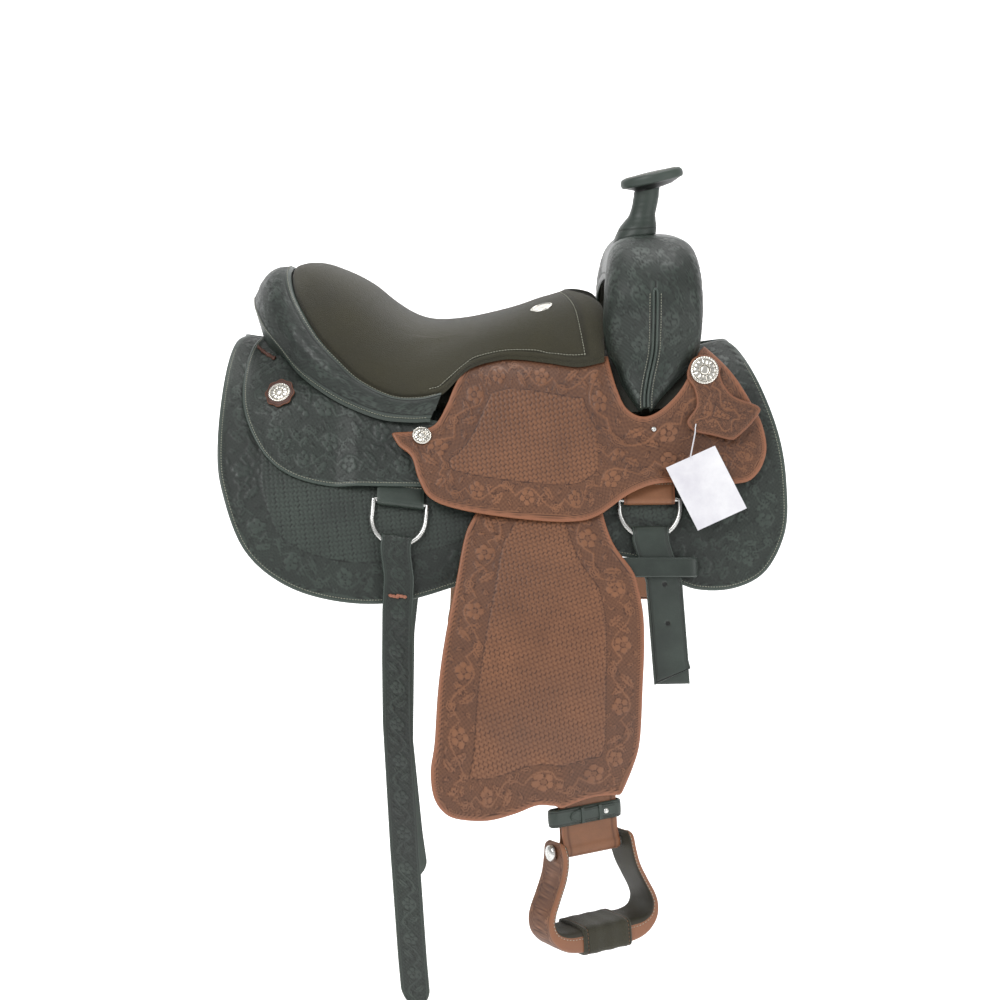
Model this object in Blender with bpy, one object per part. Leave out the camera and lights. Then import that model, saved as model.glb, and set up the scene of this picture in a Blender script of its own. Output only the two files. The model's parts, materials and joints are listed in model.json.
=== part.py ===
"""Western barrel racing saddle, built on a rounded horse's back.

+X is forward, +Z is up, and the off (right) side is at -Y. The origin is the
top of the horse's back under the middle of the saddle. Every sheet of leather
is laid on the barrel of the horse by a station (x), a girth (the distance
down round the barrel from the top line) and a lift (the height off the hide).
"""
import math

import bpy
import bmesh
import numpy as np
from mathutils import Vector, geometry

MM = 0.001
GAP = 0.8 * MM
OFF = -1
NEAR = 1

# Barrel of the horse
HALF_WIDTH = 0.205
FRONT_TAPER = 0.14
BARREL_DEPTH = 0.40
BACK_DIP = 0.020
DIP_REACH = 0.30

# Thicknesses of what is stacked on it
FLEECE_THICK = 12.0 * MM
SKIRT_THICK = 5.0 * MM
BAR_THICK = 18.0 * MM
BAR_EDGE = 7.0 * MM
JOCKEY_THICK = 4.0 * MM
STRAP_THICK = 3.0 * MM
FENDER_THICK = 3.5 * MM
LEATHER_THICK = 3.5 * MM
COVER_THICK = 3.0 * MM
SEAT_THICK = 12.0 * MM
SEAT_EDGE = 4.0 * MM
POCKET = 19.0 * MM

# Stirrup leathers and fenders
PIVOT_STATION = 0.068
PIVOT_GIRTH = 0.178
LEATHER_WIDTH = 0.076
HANG_LEAN = math.radians(3.5)
HANG_TWIST = math.radians(24)
HANG_DROP = math.radians(8)
FLAT_LENGTH = 0.100
CHANNEL_REAR = PIVOT_STATION - LEATHER_WIDTH / 2 - 0.012
CHANNEL_FRONT = PIVOT_STATION + LEATHER_WIDTH / 2 + 0.012
CHANNEL_DEPTH = 4.8 * MM
BOLT_DROP = 0.472
BOLT_RADIUS = 5.0 * MM
HOBBLE_DROP = 0.432
HOBBLE_WIDTH = 0.021

# Stirrup: one leg from above the bolt down to the middle of the tread
STIRRUP_LEG = [
    # across, down, thickness, depth
    (-46, -12, 7, 32), (-46, -5, 8, 44), (-46.5, 9, 8, 50), (-51, 28, 8, 50), (-60, 48, 8, 50),
    (-68.5, 66, 8.5, 51), (-71, 79, 10, 52), (-66.5, 92, 15, 54), (-53, 101, 23, 56), (-34, 104, 28, 56),
]
TREAD_WRAP = 3.0 * MM

# Rigging: station, girth, width and height of each dee
DEE_WIRE = 2.8 * MM
FRONT_DEE = (0.181, 0.228, 0.080, 0.046)
REAR_DEE = (-0.119, 0.247, 0.070, 0.052)
REAR_BILLET_WIDTH = 0.036
OFF_BILLET_WIDTH = 0.044
OFF_BILLET_DROPS = (0.045, 0.090, 0.128)
LATIGO_DROPS = (0.040, 0.080, 0.112)
BILLET_LEAN = 0.017
NEAR_BILLET_LEAN = (-9.0, -18.0, -28.0, -23.0, -20.0, -19.0)

# Stacked lifts, worked out from the thicknesses
SKIRT_IN = FLEECE_THICK + GAP
SKIRT_OUT = SKIRT_IN + SKIRT_THICK
STRAP_IN = SKIRT_OUT + GAP
STRAP_OUT = STRAP_IN + 2 * STRAP_THICK + GAP
BAR_IN = SKIRT_OUT + GAP
BAR_OUT = BAR_IN + BAR_THICK
REAR_IN = BAR_OUT + GAP
REAR_OUT = REAR_IN + JOCKEY_THICK
POCKET_IN = SKIRT_OUT + POCKET
JOCKEY_HIGH = REAR_OUT + GAP + 12.0 * MM

GIRTH_ROWS = [0, 12, 24, 36, 50, 65, 82, 100, 122, 145, 170, 200, 235, 270, 310, 350]


def ease(value):
    """Smooth step from 0 to 1."""
    value = min(1.0, max(0.0, value))
    return value * value * (3 - 2 * value)


def millimetres(points):
    return [tuple(value * MM for value in point) for point in points]


def curve(points, steps=6):
    """Smooth line through a few points of any dimension, ends included."""
    points = [np.array(point, float) for point in points]
    ends = [2 * points[0] - points[1]] + points + [2 * points[-1] - points[-2]]
    line = []
    for a, b, c, d in zip(ends, ends[1:], ends[2:], ends[3:]):
        for step in range(steps):
            t = step / steps
            line.append(0.5 * (2 * b + (c - a) * t + (2 * a - 5 * b + 4 * c - d) * t * t
                               + (3 * b - a - 3 * c + d) * t ** 3))
    return line + [points[-1]]


def even(line, spacing):
    """Resample a line at about the given spacing."""
    line = np.array(line)
    along = np.concatenate([[0], np.cumsum(np.linalg.norm(np.diff(line, axis=0), axis=1))])
    count = max(2, round(along[-1] / spacing) + 1)
    places = np.linspace(0, along[-1], count)
    return np.stack([np.interp(places, along, line[:, k]) for k in range(line.shape[1])], axis=1)


def outline(*runs, spacing=0.018):
    """Closed outline from smooth runs that meet at corners."""
    points = []
    for run in runs:
        points += [tuple(point) for point in even(curve(millimetres(run)), spacing)[:-1]]
    return points


# Barrel surface

def section(x):
    return HALF_WIDTH - FRONT_TAPER * x, BARREL_DEPTH, BACK_DIP * (x / DIP_REACH) ** 2


def girth_angle(x, girth):
    half, depth, _ = section(x)
    angle = 0.0
    steps = 24
    for _ in range(steps):
        first = 1 / math.hypot(half * math.cos(angle), depth * math.sin(angle))
        middle = angle + girth / steps * first / 2
        angle += girth / steps / math.hypot(half * math.cos(middle), depth * math.sin(middle))
    return angle


def lifted(x, angle, lift):
    half, depth, top = section(x)
    across, up = depth * math.sin(angle), half * math.cos(angle)
    size = math.hypot(across, up)
    return Vector((x, -half * math.sin(angle) - lift * across / size,
                   top - depth * (1 - math.cos(angle)) + lift * up / size))


def barrel(x, girth, lift):
    """Point on the off side of the horse, lifted off its hide."""
    return lifted(x, girth_angle(x, girth), lift)


def amount(lift, x, girth):
    return lift(x, girth) if callable(lift) else lift


def girth_at(x, y, lift):
    """Girth at which a lifted surface is as wide as y; the lift may vary over the surface."""
    low, high = 0.0, 0.40
    for _ in range(18):
        middle = (low + high) / 2
        if -barrel(x, middle, amount(lift, x, middle)).y < abs(y):
            low = middle
        else:
            high = middle
    return (low + high) / 2


def height_at(x, y, lift):
    """Height of a lifted surface over a point in plan."""
    girth = girth_at(x, y, lift)
    return barrel(x, girth, amount(lift, x, girth)).z


def barrel_frame(x, girth, lift):
    """Point on the barrel with its forward, down and outward directions."""
    point = barrel(x, girth, lift)
    forward = (barrel(x + MM, girth, lift) - barrel(x - MM, girth, lift)).normalized()
    down = (barrel(x, girth + MM, lift) - barrel(x, girth - MM, lift)).normalized()
    outward = down.cross(forward).normalized()
    if outward.y > 0:
        outward.negate()
    down = (down - outward * down.dot(outward)).normalized()
    side = down.cross(outward).normalized()
    if side.x < 0:
        side.negate()
    return point, side, down, outward


# Lifts of the upper leathers

def rear_strap_bump(x, girth):
    return ease((x + 0.20) / 0.03) * ease((-0.045 - x) / 0.03) * ease((girth - 0.10) / 0.05)


def rear_jockey_lift(x, girth):
    over_bars = ease((x + 0.305) / 0.06) * ease((0.195 - girth) / 0.07)
    low = STRAP_IN + rear_strap_bump(x, girth) * (STRAP_OUT - STRAP_IN + GAP)
    return low + (REAR_IN - low) * over_bars


def jockey_lift(x, girth):
    front = ease((x - 0.165) / 0.06)
    low = POCKET_IN + (STRAP_OUT + GAP - POCKET_IN) * front
    return low + (JOCKEY_HIGH - low) * ease((0.165 - girth) / 0.075)


# Hanging leathers: a frame that follows the stirrup leather down

def hang_axes():
    point, _, _, outward = barrel_frame(PIVOT_STATION, PIVOT_GIRTH, STRAP_IN + LEATHER_THICK / 2)
    return point, outward


HANG_POINT, HANG_AXIS = hang_axes()
HANG_TILT = math.asin(HANG_AXIS.z)
HANG_YAW = math.atan2(HANG_AXIS.x, -HANG_AXIS.y)
HANG_STEP = 5.0 * MM
TWIST_START = 0.130
TWIST_END = 0.460
STRAIGHTEN = 0.300


def hang_turn(drop):
    """Down, across and outward directions of the leather at a drop below its pivot."""
    tilt = HANG_TILT + (HANG_DROP - HANG_TILT) * ease((drop - FLAT_LENGTH) / STRAIGHTEN)
    turn = HANG_YAW + HANG_TWIST * ease((drop - TWIST_START) / (TWIST_END - TWIST_START))
    level = Vector((math.sin(turn), -math.cos(turn), 0))
    away = Vector((math.sin(HANG_YAW), -math.cos(HANG_YAW), 0))
    down = away * math.sin(tilt) - Vector((0, 0, math.cos(tilt)))
    across = down.cross(level)
    if across.x < 0:
        across.negate()
    across = (across - down * across.dot(down)).normalized()
    outward = across.cross(down)
    if outward.y > 0:
        outward.negate()
    lean_down = down * math.cos(HANG_LEAN) + across * math.sin(HANG_LEAN)
    across = across * math.cos(HANG_LEAN) - down * math.sin(HANG_LEAN)
    return lean_down, across, outward


def hang_centres(length=0.60):
    centres = [HANG_POINT.copy()]
    for step in range(int(length / HANG_STEP)):
        centres.append(centres[-1] + hang_turn((step + 0.5) * HANG_STEP)[0] * HANG_STEP)
    return centres


HANG_CENTRES = hang_centres()


def hang(across, drop, lift):
    """Point of the hanging leather: across it, down from its pivot, and off its face."""
    down, side, outward = hang_turn(max(drop, 0.0))
    if drop <= 0:
        centre = HANG_POINT + down * drop
    else:
        step = int(drop / HANG_STEP)
        centre = HANG_CENTRES[step] + down * (drop - step * HANG_STEP)
    return centre + side * across + outward * lift


# Materials

LEATHERS = {
    "green_leather": ((0.035, 0.045, 0.032), 0.45, 0.0),
    "tan_leather": ((0.33, 0.13, 0.05), 0.45, 0.0),
    "suede": ((0.075, 0.065, 0.030), 0.95, 0.0),
    "fleece": ((0.80, 0.74, 0.60), 0.95, 0.0),
    "wood": ((0.45, 0.30, 0.16), 0.6, 0.0),
    "steel": ((0.62, 0.62, 0.60), 0.3, 1.0),
    "silver": ((0.80, 0.79, 0.75), 0.2, 1.0),
    "black_leather": ((0.01, 0.01, 0.01), 0.25, 0.0),
    "card": ((0.85, 0.85, 0.85), 0.6, 0.0),
}


def material(name):
    if name in bpy.data.materials:
        return bpy.data.materials[name]
    colour, roughness, metallic = LEATHERS[name]
    made = bpy.data.materials.new(name)
    made.use_nodes = True
    shader = made.node_tree.nodes["Principled BSDF"]
    shader.inputs["Base Color"].default_value = (*colour, 1)
    shader.inputs["Roughness"].default_value = roughness
    shader.inputs["Metallic"].default_value = metallic
    return made


# Builders of closed solids: each gives vertices and faces

def add(name, solids, material_name, side=OFF, angle=35, pivot=(0, 0, 0)):
    """Object from one or more closed solids, mirrored for the near side, with its origin at the pivot."""
    mesh = bpy.data.meshes.new(name)
    made = bmesh.new()
    px, py, pz = pivot
    for vertices, faces in solids:
        placed = [made.verts.new((v[0] - px, (v[1] - py) * -side, v[2] - pz)) for v in vertices]
        for face in faces:
            made.faces.new([placed[k] for k in face])
    bmesh.ops.triangulate(made, faces=[face for face in made.faces if len(face.verts) > 4])
    bmesh.ops.recalc_face_normals(made, faces=made.faces)
    made.to_mesh(mesh)
    made.free()
    mesh.materials.append(material(material_name))
    mesh.shade_smooth()
    mesh.set_sharp_from_angle(angle=math.radians(angle))
    thing = bpy.data.objects.new(name, mesh)
    thing.location = (px, py * -side, pz)
    bpy.context.scene.collection.objects.link(thing)
    return thing


def both(name, solids, material_name, pivot=(0, 0, 0)):
    return [add(name + "_off", solids, material_name, OFF, pivot=pivot),
            add(name + "_near", solids, material_name, NEAR, pivot=pivot)]


def combine(thing, solids, operation):
    other = add("other", solids, "steel")
    change = thing.modifiers.new("change", "BOOLEAN")
    change.operation = operation
    change.solver = "EXACT"
    change.object = other
    graph = bpy.context.evaluated_depsgraph_get()
    graph.update()
    thing.data = bpy.data.meshes.new_from_object(thing.evaluated_get(graph))
    thing.modifiers.clear()
    bpy.data.objects.remove(other, do_unlink=True)


def drill(thing, solids):
    """Cut closed solids, given about the object's own origin, out of it."""
    placed = [([tuple(Vector(v) + thing.location) for v in vertices], faces) for vertices, faces in solids]
    combine(thing, placed, "DIFFERENCE")


def join(thing, solids):
    combine(thing, solids, "UNION")


def slab(top, bottom, wrap=False):
    """Solid between two grids of points with the same rows and columns."""
    rows, columns = len(top), len(top[0])
    vertices = [tuple(p) for row in top for p in row] + [tuple(p) for row in bottom for p in row]
    under = rows * columns
    faces = []

    def at(r, c):
        return r * columns + c % columns
    for r in range(rows - 1):
        for c in range(columns if wrap else columns - 1):
            quad = [at(r, c), at(r, c + 1), at(r + 1, c + 1), at(r + 1, c)]
            for half in (quad[:3], [quad[0]] + quad[2:]):
                faces.append(half)
                faces.append([under + k for k in reversed(half)])
    for r in range(rows - 1):
        if not wrap:
            for c in (0, columns - 1):
                faces.append([at(r, c), at(r + 1, c), under + at(r + 1, c), under + at(r, c)])
    for c in range(columns if wrap else columns - 1):
        for r in (0, rows - 1):
            faces.append([at(r, c), at(r, c + 1), under + at(r, c + 1), under + at(r, c)])
    return vertices, faces


def loft(loops, closed=False):
    """Solid through closed section loops, with flat ends unless the path is closed."""
    count = len(loops[0])
    vertices = [tuple(p) for loop in loops for p in loop]
    faces = []
    last = len(loops) if closed else len(loops) - 1
    for k in range(last):
        a, b = k * count, (k + 1) % len(loops) * count
        for c in range(count):
            d = (c + 1) % count
            faces.append([a + c, a + d, b + d, b + c])
    if not closed:
        faces.append(list(range(count))[::-1])
        faces.append(list(range((len(loops) - 1) * count, len(loops) * count)))
    return vertices, faces


def sheet(edge, lift_in, lift_out, place=barrel, rows=GIRTH_ROWS, column=0.055, margin=0.007,
          squeeze=0.3, columns=None):
    """Leather sheet cut to an outline in station and girth and laid on a surface."""
    edge = [(x, w) for x, w in edge]
    low = min(x for x, _ in edge)
    high = max(x for x, _ in edge)
    if columns is None:
        count = max(1, round((high - low) / column))
        columns = [low + (high - low) * (k + 0.5) / count for k in range(count)]
    inside = []
    for x in columns:
        for row in rows:
            w = row * MM
            if within((x, w), edge) and clearance((x, w), edge, squeeze) > margin:
                inside.append((x, w))
    flat = [Vector((x * squeeze, w)) for x, w in edge + inside]
    loop = list(range(len(edge)))
    points, _, triangles, _, _, _ = geometry.delaunay_2d_cdt(flat, [], [loop], 1, 1e-7)
    places = [(p.x / squeeze, p.y) for p in points]
    vertices = [tuple(place(x, w, amount(lift_out, x, w))) for x, w in places]
    vertices += [tuple(place(x, w, amount(lift_in, x, w))) for x, w in places]
    count = len(places)
    faces = []
    edges = {}
    for triangle in triangles:
        triangle = list(triangle)
        faces.append(triangle)
        faces.append([k + count for k in reversed(triangle)])
        for k in range(3):
            pair = (triangle[k], triangle[(k + 1) % 3])
            edges[pair] = True
    for a, b in edges:
        if (b, a) not in edges:
            faces.append([a, b, b + count, a + count][::-1])
    return vertices, faces


def within(point, edge):
    x, y = point
    inside = False
    for (ax, ay), (bx, by) in zip(edge, edge[1:] + edge[:1]):
        if (ay > y) != (by > y) and x < (bx - ax) * (y - ay) / (by - ay) + ax:
            inside = not inside
    return inside


def clearance(point, edge, squeeze):
    scale = np.array([squeeze, 1.0])
    p = np.array(point) * scale
    a = np.array(edge) * scale
    b = np.roll(a, -1, axis=0)
    t = np.clip(np.sum((p - a) * (b - a), axis=1) / np.maximum(np.sum((b - a) ** 2, axis=1), 1e-12), 0, 1)
    return np.min(np.linalg.norm(a + (b - a) * t[:, None] - p, axis=1))


def inset(edge, distance):
    """Outline moved inward."""
    points = np.array(edge)
    ahead = np.roll(points, -1, axis=0) - np.roll(points, 1, axis=0)
    normal = np.stack([ahead[:, 1], -ahead[:, 0]], axis=1)
    normal /= np.linalg.norm(normal, axis=1, keepdims=True)
    area = np.sum(points[:, 0] * np.roll(points[:, 1], -1) - np.roll(points[:, 0], -1) * points[:, 1])
    return [tuple(p) for p in points - normal * distance * np.sign(area)]


def ring(centre, across, up, radius_a, radius_b, sides):
    return [centre + across * radius_a * math.cos(math.tau * k / sides)
            + up * radius_b * math.sin(math.tau * k / sides) for k in range(sides)]


def tube(path, radius, sides=10, closed=False):
    """Round bar along a path in 3D."""
    path = [Vector(p) for p in path]
    loops = []
    normal = None
    count = len(path)
    for k, p in enumerate(path):
        ahead = path[(k + 1) % count] if closed or k < count - 1 else p
        behind = path[k - 1] if closed or k > 0 else p
        along = (ahead - behind).normalized()
        if normal is None:
            normal = along.orthogonal().normalized()
        normal = (normal - along * normal.dot(along)).normalized()
        loops.append(ring(p, normal, along.cross(normal), radius, radius, sides))
    return loft(loops, closed)


def turned(profile, sides, origin, axis, across=None, stretch=1.0):
    """Solid turned about an axis from a profile of radius and height pairs."""
    axis = Vector(axis).normalized()
    across = Vector(across).normalized() if across else axis.orthogonal().normalized()
    across = (across - axis * across.dot(axis)).normalized()
    other = axis.cross(across)
    loops = [ring(Vector(origin) + axis * height, across, other, radius * stretch, radius, sides)
             for radius, height in profile]
    return loft(loops)


# Skirts, fleece and tree bars

SKIRT_LOWER = [(-322, 1), (-332, 40), (-337, 120), (-338, 215), (-330, 268), (-303, 330), (-255, 362),
               (-190, 371), (-120, 362), (-40, 332), (30, 305), (100, 291), (165, 297), (205, 320),
               (240, 335), (286, 336), (325, 318), (349, 272), (351, 215), (344, 160), (326, 100), (302, 40),
               (284, 1)]
CHANNEL = [(284, 1), (200, 26), (0, 34), (-200, 26), (-322, 1)]


def skirts():
    edge = outline(SKIRT_LOWER, CHANNEL, spacing=0.017)
    both("skirt", [sheet(edge, SKIRT_IN, SKIRT_OUT)], "green_leather")
    both("fleece", [sheet(inset(edge, 2.5 * MM), 0.0, FLEECE_THICK)], "fleece")


def tree_bars():
    edge = outline([(-245, 62), (-232, 40), (-180, 34), (0, 38), (150, 36), (222, 44), (238, 70),
                    (232, 100), (200, 122), (60, 130), (-60, 124), (-190, 122), (-238, 100), (-245, 62)],
                   spacing=0.022)
    middle = 0.082

    def top(x, w):
        crown = max(0.0, 1 - (abs(w - middle) / 0.052) ** 4)
        channel = ease((x - CHANNEL_REAR) / 0.008) * ease((CHANNEL_FRONT - x) / 0.008)
        return BAR_IN + BAR_EDGE + (BAR_THICK - BAR_EDGE) * crown ** 0.5 - CHANNEL_DEPTH * channel
    columns = [-0.20, -0.13, -0.07, -0.01, CHANNEL_REAR, CHANNEL_REAR + 0.008, PIVOT_STATION,
               CHANNEL_FRONT - 0.008, CHANNEL_FRONT, 0.15, 0.19]
    both("tree_bar", [sheet(edge, BAR_IN, top, columns=columns)], "wood")


# Rear jockeys

REAR_JOCKEY = [(-292, 1), (-306, 40), (-313, 100), (-312, 150), (-300, 188), (-278, 219), (-248, 235),
               (-205, 239), (-150, 233), (-70, 224)]


def rear_jockeys():
    edge = outline(REAR_JOCKEY, [(-70, 224), (-60, 205), (-62, 180), (-70, 150)],
                   [(-70, 150), (-120, 146), (-170, 139), (-205, 125), (-236, 98), (-254, 60), (-262, 1)],
                   [(-262, 1), (-292, 1)], spacing=0.016)
    columns = [-0.30, -0.285, -0.27, -0.255, -0.235, -0.215, -0.20, -0.185, -0.17, -0.145, -0.12, -0.095, -0.08]
    rows = [10, 30, 50, 70, 88, 105, 120, 133, 146, 159, 172, 188, 205, 220]
    both("rear_jockey", [sheet(edge, rear_jockey_lift, lambda x, w: rear_jockey_lift(x, w) + JOCKEY_THICK,
                               rows=rows, columns=columns, squeeze=1.0)], "green_leather")


# Side jockeys

def jockey_top(x, girth):
    return jockey_lift(x, girth) + JOCKEY_THICK


def jockeys():
    lower = [(-129, 175), (-121, 186), (-106, 197), (-97, 222), (-82, 242), (-45, 251), (30, 256),
             (85, 256), (118, 248), (160, 221), (205, 209), (286, 213), (312, 204), (325, 178), (321, 148),
             (305, 122), (278, 88), (252, 62)]
    notch = [(252, 62), (243, 71), (233, 91), (218, 111), (193, 130), (172, 136), (153, 127), (142, 107),
             (136, 87), (133, 70)]
    under = [(x / MM, girth_at(x, abs(y) - SEAT_TUCK, jockey_top) / MM)
             for x, y in millimetres(SEAT_FRONT_LINE)[1:]]
    upper = [notch[-1]] + under[:-1] + [(-55, 113), (-65, 134), (-79, 156), (-102, 166), (-128, 171),
                                        (-129, 175)]
    edge = outline(lower, notch, upper, spacing=0.015)
    columns = [-0.11, -0.07, -0.02, 0.035, 0.09, 0.14, 0.175, 0.21, 0.235, 0.27, 0.30]
    both("jockey", [sheet(edge, jockey_lift, jockey_top, columns=columns)], "tan_leather")


# Seat, ground seat and cantle

SEAT_TUCK = 12.0 * MM
SEAT_FRONT_LINE = [(128, -112), (96, -118), (62, -114), (25, -110), (-2, -112), (-38, -126), (-71, -147)]
SEAT_REAR_LINE = [(-98, -156, -20), (-130, -157, -18), (-167, -152, 0), (-193, -144, 23), (-217, -132, 48),
                  (-235, -114, 73), (-251, -86, 99), (-259, -48, 119), (-260, -14, 126)]
SEAT_CENTRE_LINE = [(84, 100), (72, 94), (50, 86), (22, 76), (-8, 68), (-40, 61), (-72, 58), (-94, 60),
                    (-114, 68), (-136, 83), (-158, 101), (-178, 113), (-198, 122), (-218, 129), (-240, 132),
                    (-257, 129)]
SEAT_COLUMNS = [-1.0, -0.90, -0.78, -0.65, -0.50, -0.34, -0.17, 0.0,
                0.17, 0.34, 0.50, 0.65, 0.78, 0.90, 1.0]
CANTLE_FIRST = len(SEAT_FRONT_LINE) - 1


def seat_edges():
    front = [(x, y, height_at(x, y, lambda a, w: jockey_top(a, w) + 2 * GAP) + SEAT_EDGE)
             for x, y in millimetres(SEAT_FRONT_LINE)]
    return front + millimetres(SEAT_REAR_LINE)


SEAT_EDGES = seat_edges()
SEAT_CENTRES = millimetres(SEAT_CENTRE_LINE)


def seat_point(station, v, drop=0.0):
    """Point of the seat: v runs from -1 at the off edge to 1 at the near edge."""
    edge = SEAT_EDGES[station]
    centre = SEAT_CENTRES[station]
    t = abs(v)
    x = centre[0] + (edge[0] - centre[0]) * t * t
    y = edge[1] * (1.35 * t - 0.35 * t ** 3)
    z = edge[2] + (centre[1] - edge[2]) * (1 - t ** 2.6)
    return Vector((x, y if v < 0 else -y, z - drop))


def seat_thickness(v):
    return SEAT_EDGE + (SEAT_THICK - SEAT_EDGE) * min(1.0, (1 - abs(v)) / 0.3)


def seat_pad():
    stations = range(len(SEAT_EDGES))
    top = [[seat_point(k, v) for v in SEAT_COLUMNS] for k in stations]
    bottom = [[seat_point(k, v, seat_thickness(v)) for v in SEAT_COLUMNS] for k in stations]
    add("seat_pad", [slab(top, bottom)], "suede")


def under_seat(stations, skipped, lift):
    """Solid that fills the seat from its underside down to the tree bars."""
    columns = SEAT_COLUMNS[skipped:-skipped]
    top = []
    bottom = []
    for k in stations:
        top.append([seat_point(k, v, seat_thickness(v) + GAP) for v in columns])
        low = []
        for v in columns:
            point = seat_point(k, v)
            low.append(Vector((point.x, point.y, height_at(point.x, point.y, lift))))
        bottom.append(low)
    return slab(top, bottom)


def seat_carriers():
    add("ground_seat", [under_seat(range(0, CANTLE_FIRST), 3, BAR_OUT + GAP)], "black_leather")
    stations = range(CANTLE_FIRST, len(SEAT_EDGES))
    add("tree_cantle", [under_seat(stations, 2, BAR_OUT + 2 * GAP)], "wood")


LIP_LINE = [(-84, -163, -46), (-110, -168, -46), (-146, -167, -42), (-188, -160, -27), (-222, -152, -8),
            (-247, -138, 10), (-268, -118, 32), (-291, -88, 54), (-307, -46, 74), (-313, -14, 84),
            (-314, 0, 85)]
ROLL_HEIGHT = 15.0 * MM
LIP_THICK = 4.0 * MM
LIP_OVERHANG = 11.0 * MM


def cantle_section(seam, lip, fullness):
    span = lip - seam
    along = span.normalized()
    away = Vector(((seam.x + lip.x) / 2 + 0.14, (seam.y + lip.y) / 2 * 0.9, 0.09)).normalized()
    away = (away - along * away.dot(along)).normalized()
    crest = [seam + span * t + away * ROLL_HEIGHT * fullness * math.sin(math.pi * t ** 0.8)
             for t in (0.2, 0.42, 0.65, 0.86)]
    inward = Vector((-0.10 - lip.x, -lip.y, 0)).normalized()
    under = lip + inward * LIP_THICK / 2 - Vector((0, 0, LIP_THICK))
    under.z = max(under.z, height_at(under.x, under.y, rear_jockey_top))
    foot = lip + inward * LIP_OVERHANG
    foot.z = height_at(foot.x, foot.y, rear_jockey_top)
    laid = [foot]
    for reach in (0.84, 0.70, 0.55):
        point = seam.lerp(foot, reach)
        point.z = min(seam.z - SEAT_EDGE, height_at(point.x, point.y, rear_jockey_top))
        laid.append(point)
    return [seam] + crest + [lip, under] + laid


def rear_jockey_top(x, girth):
    return rear_jockey_lift(x, girth) + JOCKEY_THICK + 2 * GAP


def cantle_cover():
    """Rolled cantle as closed sections from the off tip round the back to the near tip."""
    seams = []
    for x, y, z in SEAT_EDGES[CANTLE_FIRST:]:
        outward = Vector((x + 0.10, y, 0)).normalized()
        seams.append(Vector((x, y, z)) + outward * GAP * 1.5)
    seams.append(Vector((seams[-1].x - 0.5 * MM, 0, seams[-1].z)))
    seams = [Vector(p) for p in curve(seams, 2)]
    lips = [Vector(p) for p in curve(millimetres(LIP_LINE), 2)]
    sections = [cantle_section(seam, lip, 0.4 + 0.6 * ease(k / 8))
                for k, (seam, lip) in enumerate(zip(seams, lips))]
    mirrored = [[Vector((p.x, -p.y, p.z)) for p in loop] for loop in sections[:-1]]
    add("cantle_cover", [loft(sections + mirrored[::-1])], "green_leather")


# Fork and horn

FORK = [
    # outer y, outer z, inner y, inner z, rear x, front x
    (0, 168, 0, 112, 134, 247),
    (-50, 167, -42, 108, 132, 248),
    (-95, 154, -72, 96, 129, 249),
    (-128, 126, -90, 76, 127, 249),
    (-140, 92, -97, 52, 127, 248),
    (-133, 58, -99, 28, 132, 244),
    (-125, 30, -104, 8, 143, 232),
    (-129, 0, -113, -12, 150, 213),
    (-138, -20, -124, -28, 160, 196),
    (-145, -34, -133, -42, 170, 185),
]
FORK_CORNER = 3.4


def fork_section(station, depth):
    """C-shaped section of the fork cover, from the gullet's rear edge round the outside to its front edge."""
    outer_y, outer_z, inner_y, inner_z, rear, front = [value * MM for value in station]
    outer = Vector((0, outer_y, outer_z))
    inner = Vector((0, inner_y, inner_z))
    thick = (outer - inner).length - depth
    out = (outer - inner).normalized()
    half = (front - rear) / 2 - depth
    middle = (front + rear) / 2
    points = []
    for k in range(13):
        angle = math.pi * (1 - k / 12)
        c, s = math.cos(angle), math.sin(angle)
        power = 2 / FORK_CORNER
        along = half * math.copysign(abs(c) ** power, c)
        up = thick * abs(s) ** power
        points.append(inner + Vector((middle + along, 0, 0)) + out * up)
    return points


def fork_grid(depth):
    stations = [np.array(p) for p in curve(FORK, 1)]
    off = [fork_section(station, depth) for station in stations]
    near = [[Vector((p.x, -p.y, p.z)) for p in row] for row in off[1:]]
    return near[::-1] + off


def fork():
    add("swell_cover", [slab(fork_grid(0.0), fork_grid(COVER_THICK))], "green_leather")
    add("tree_fork", [loft(fork_grid(COVER_THICK + GAP)[1:-1])], "wood")


HORN_BASE = (0.170, 0.0, 0.1686)
HORN_TOP = (0.186, 0.0, 0.232)
HORN_CAP_TILT = math.radians(13)
HORN_CAP_LENGTH = 0.080
HORN_CAP_WIDTH = 0.064
NECK_RADIUS = 16.5 * MM
NECK_FOOT = 27.0 * MM


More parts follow.
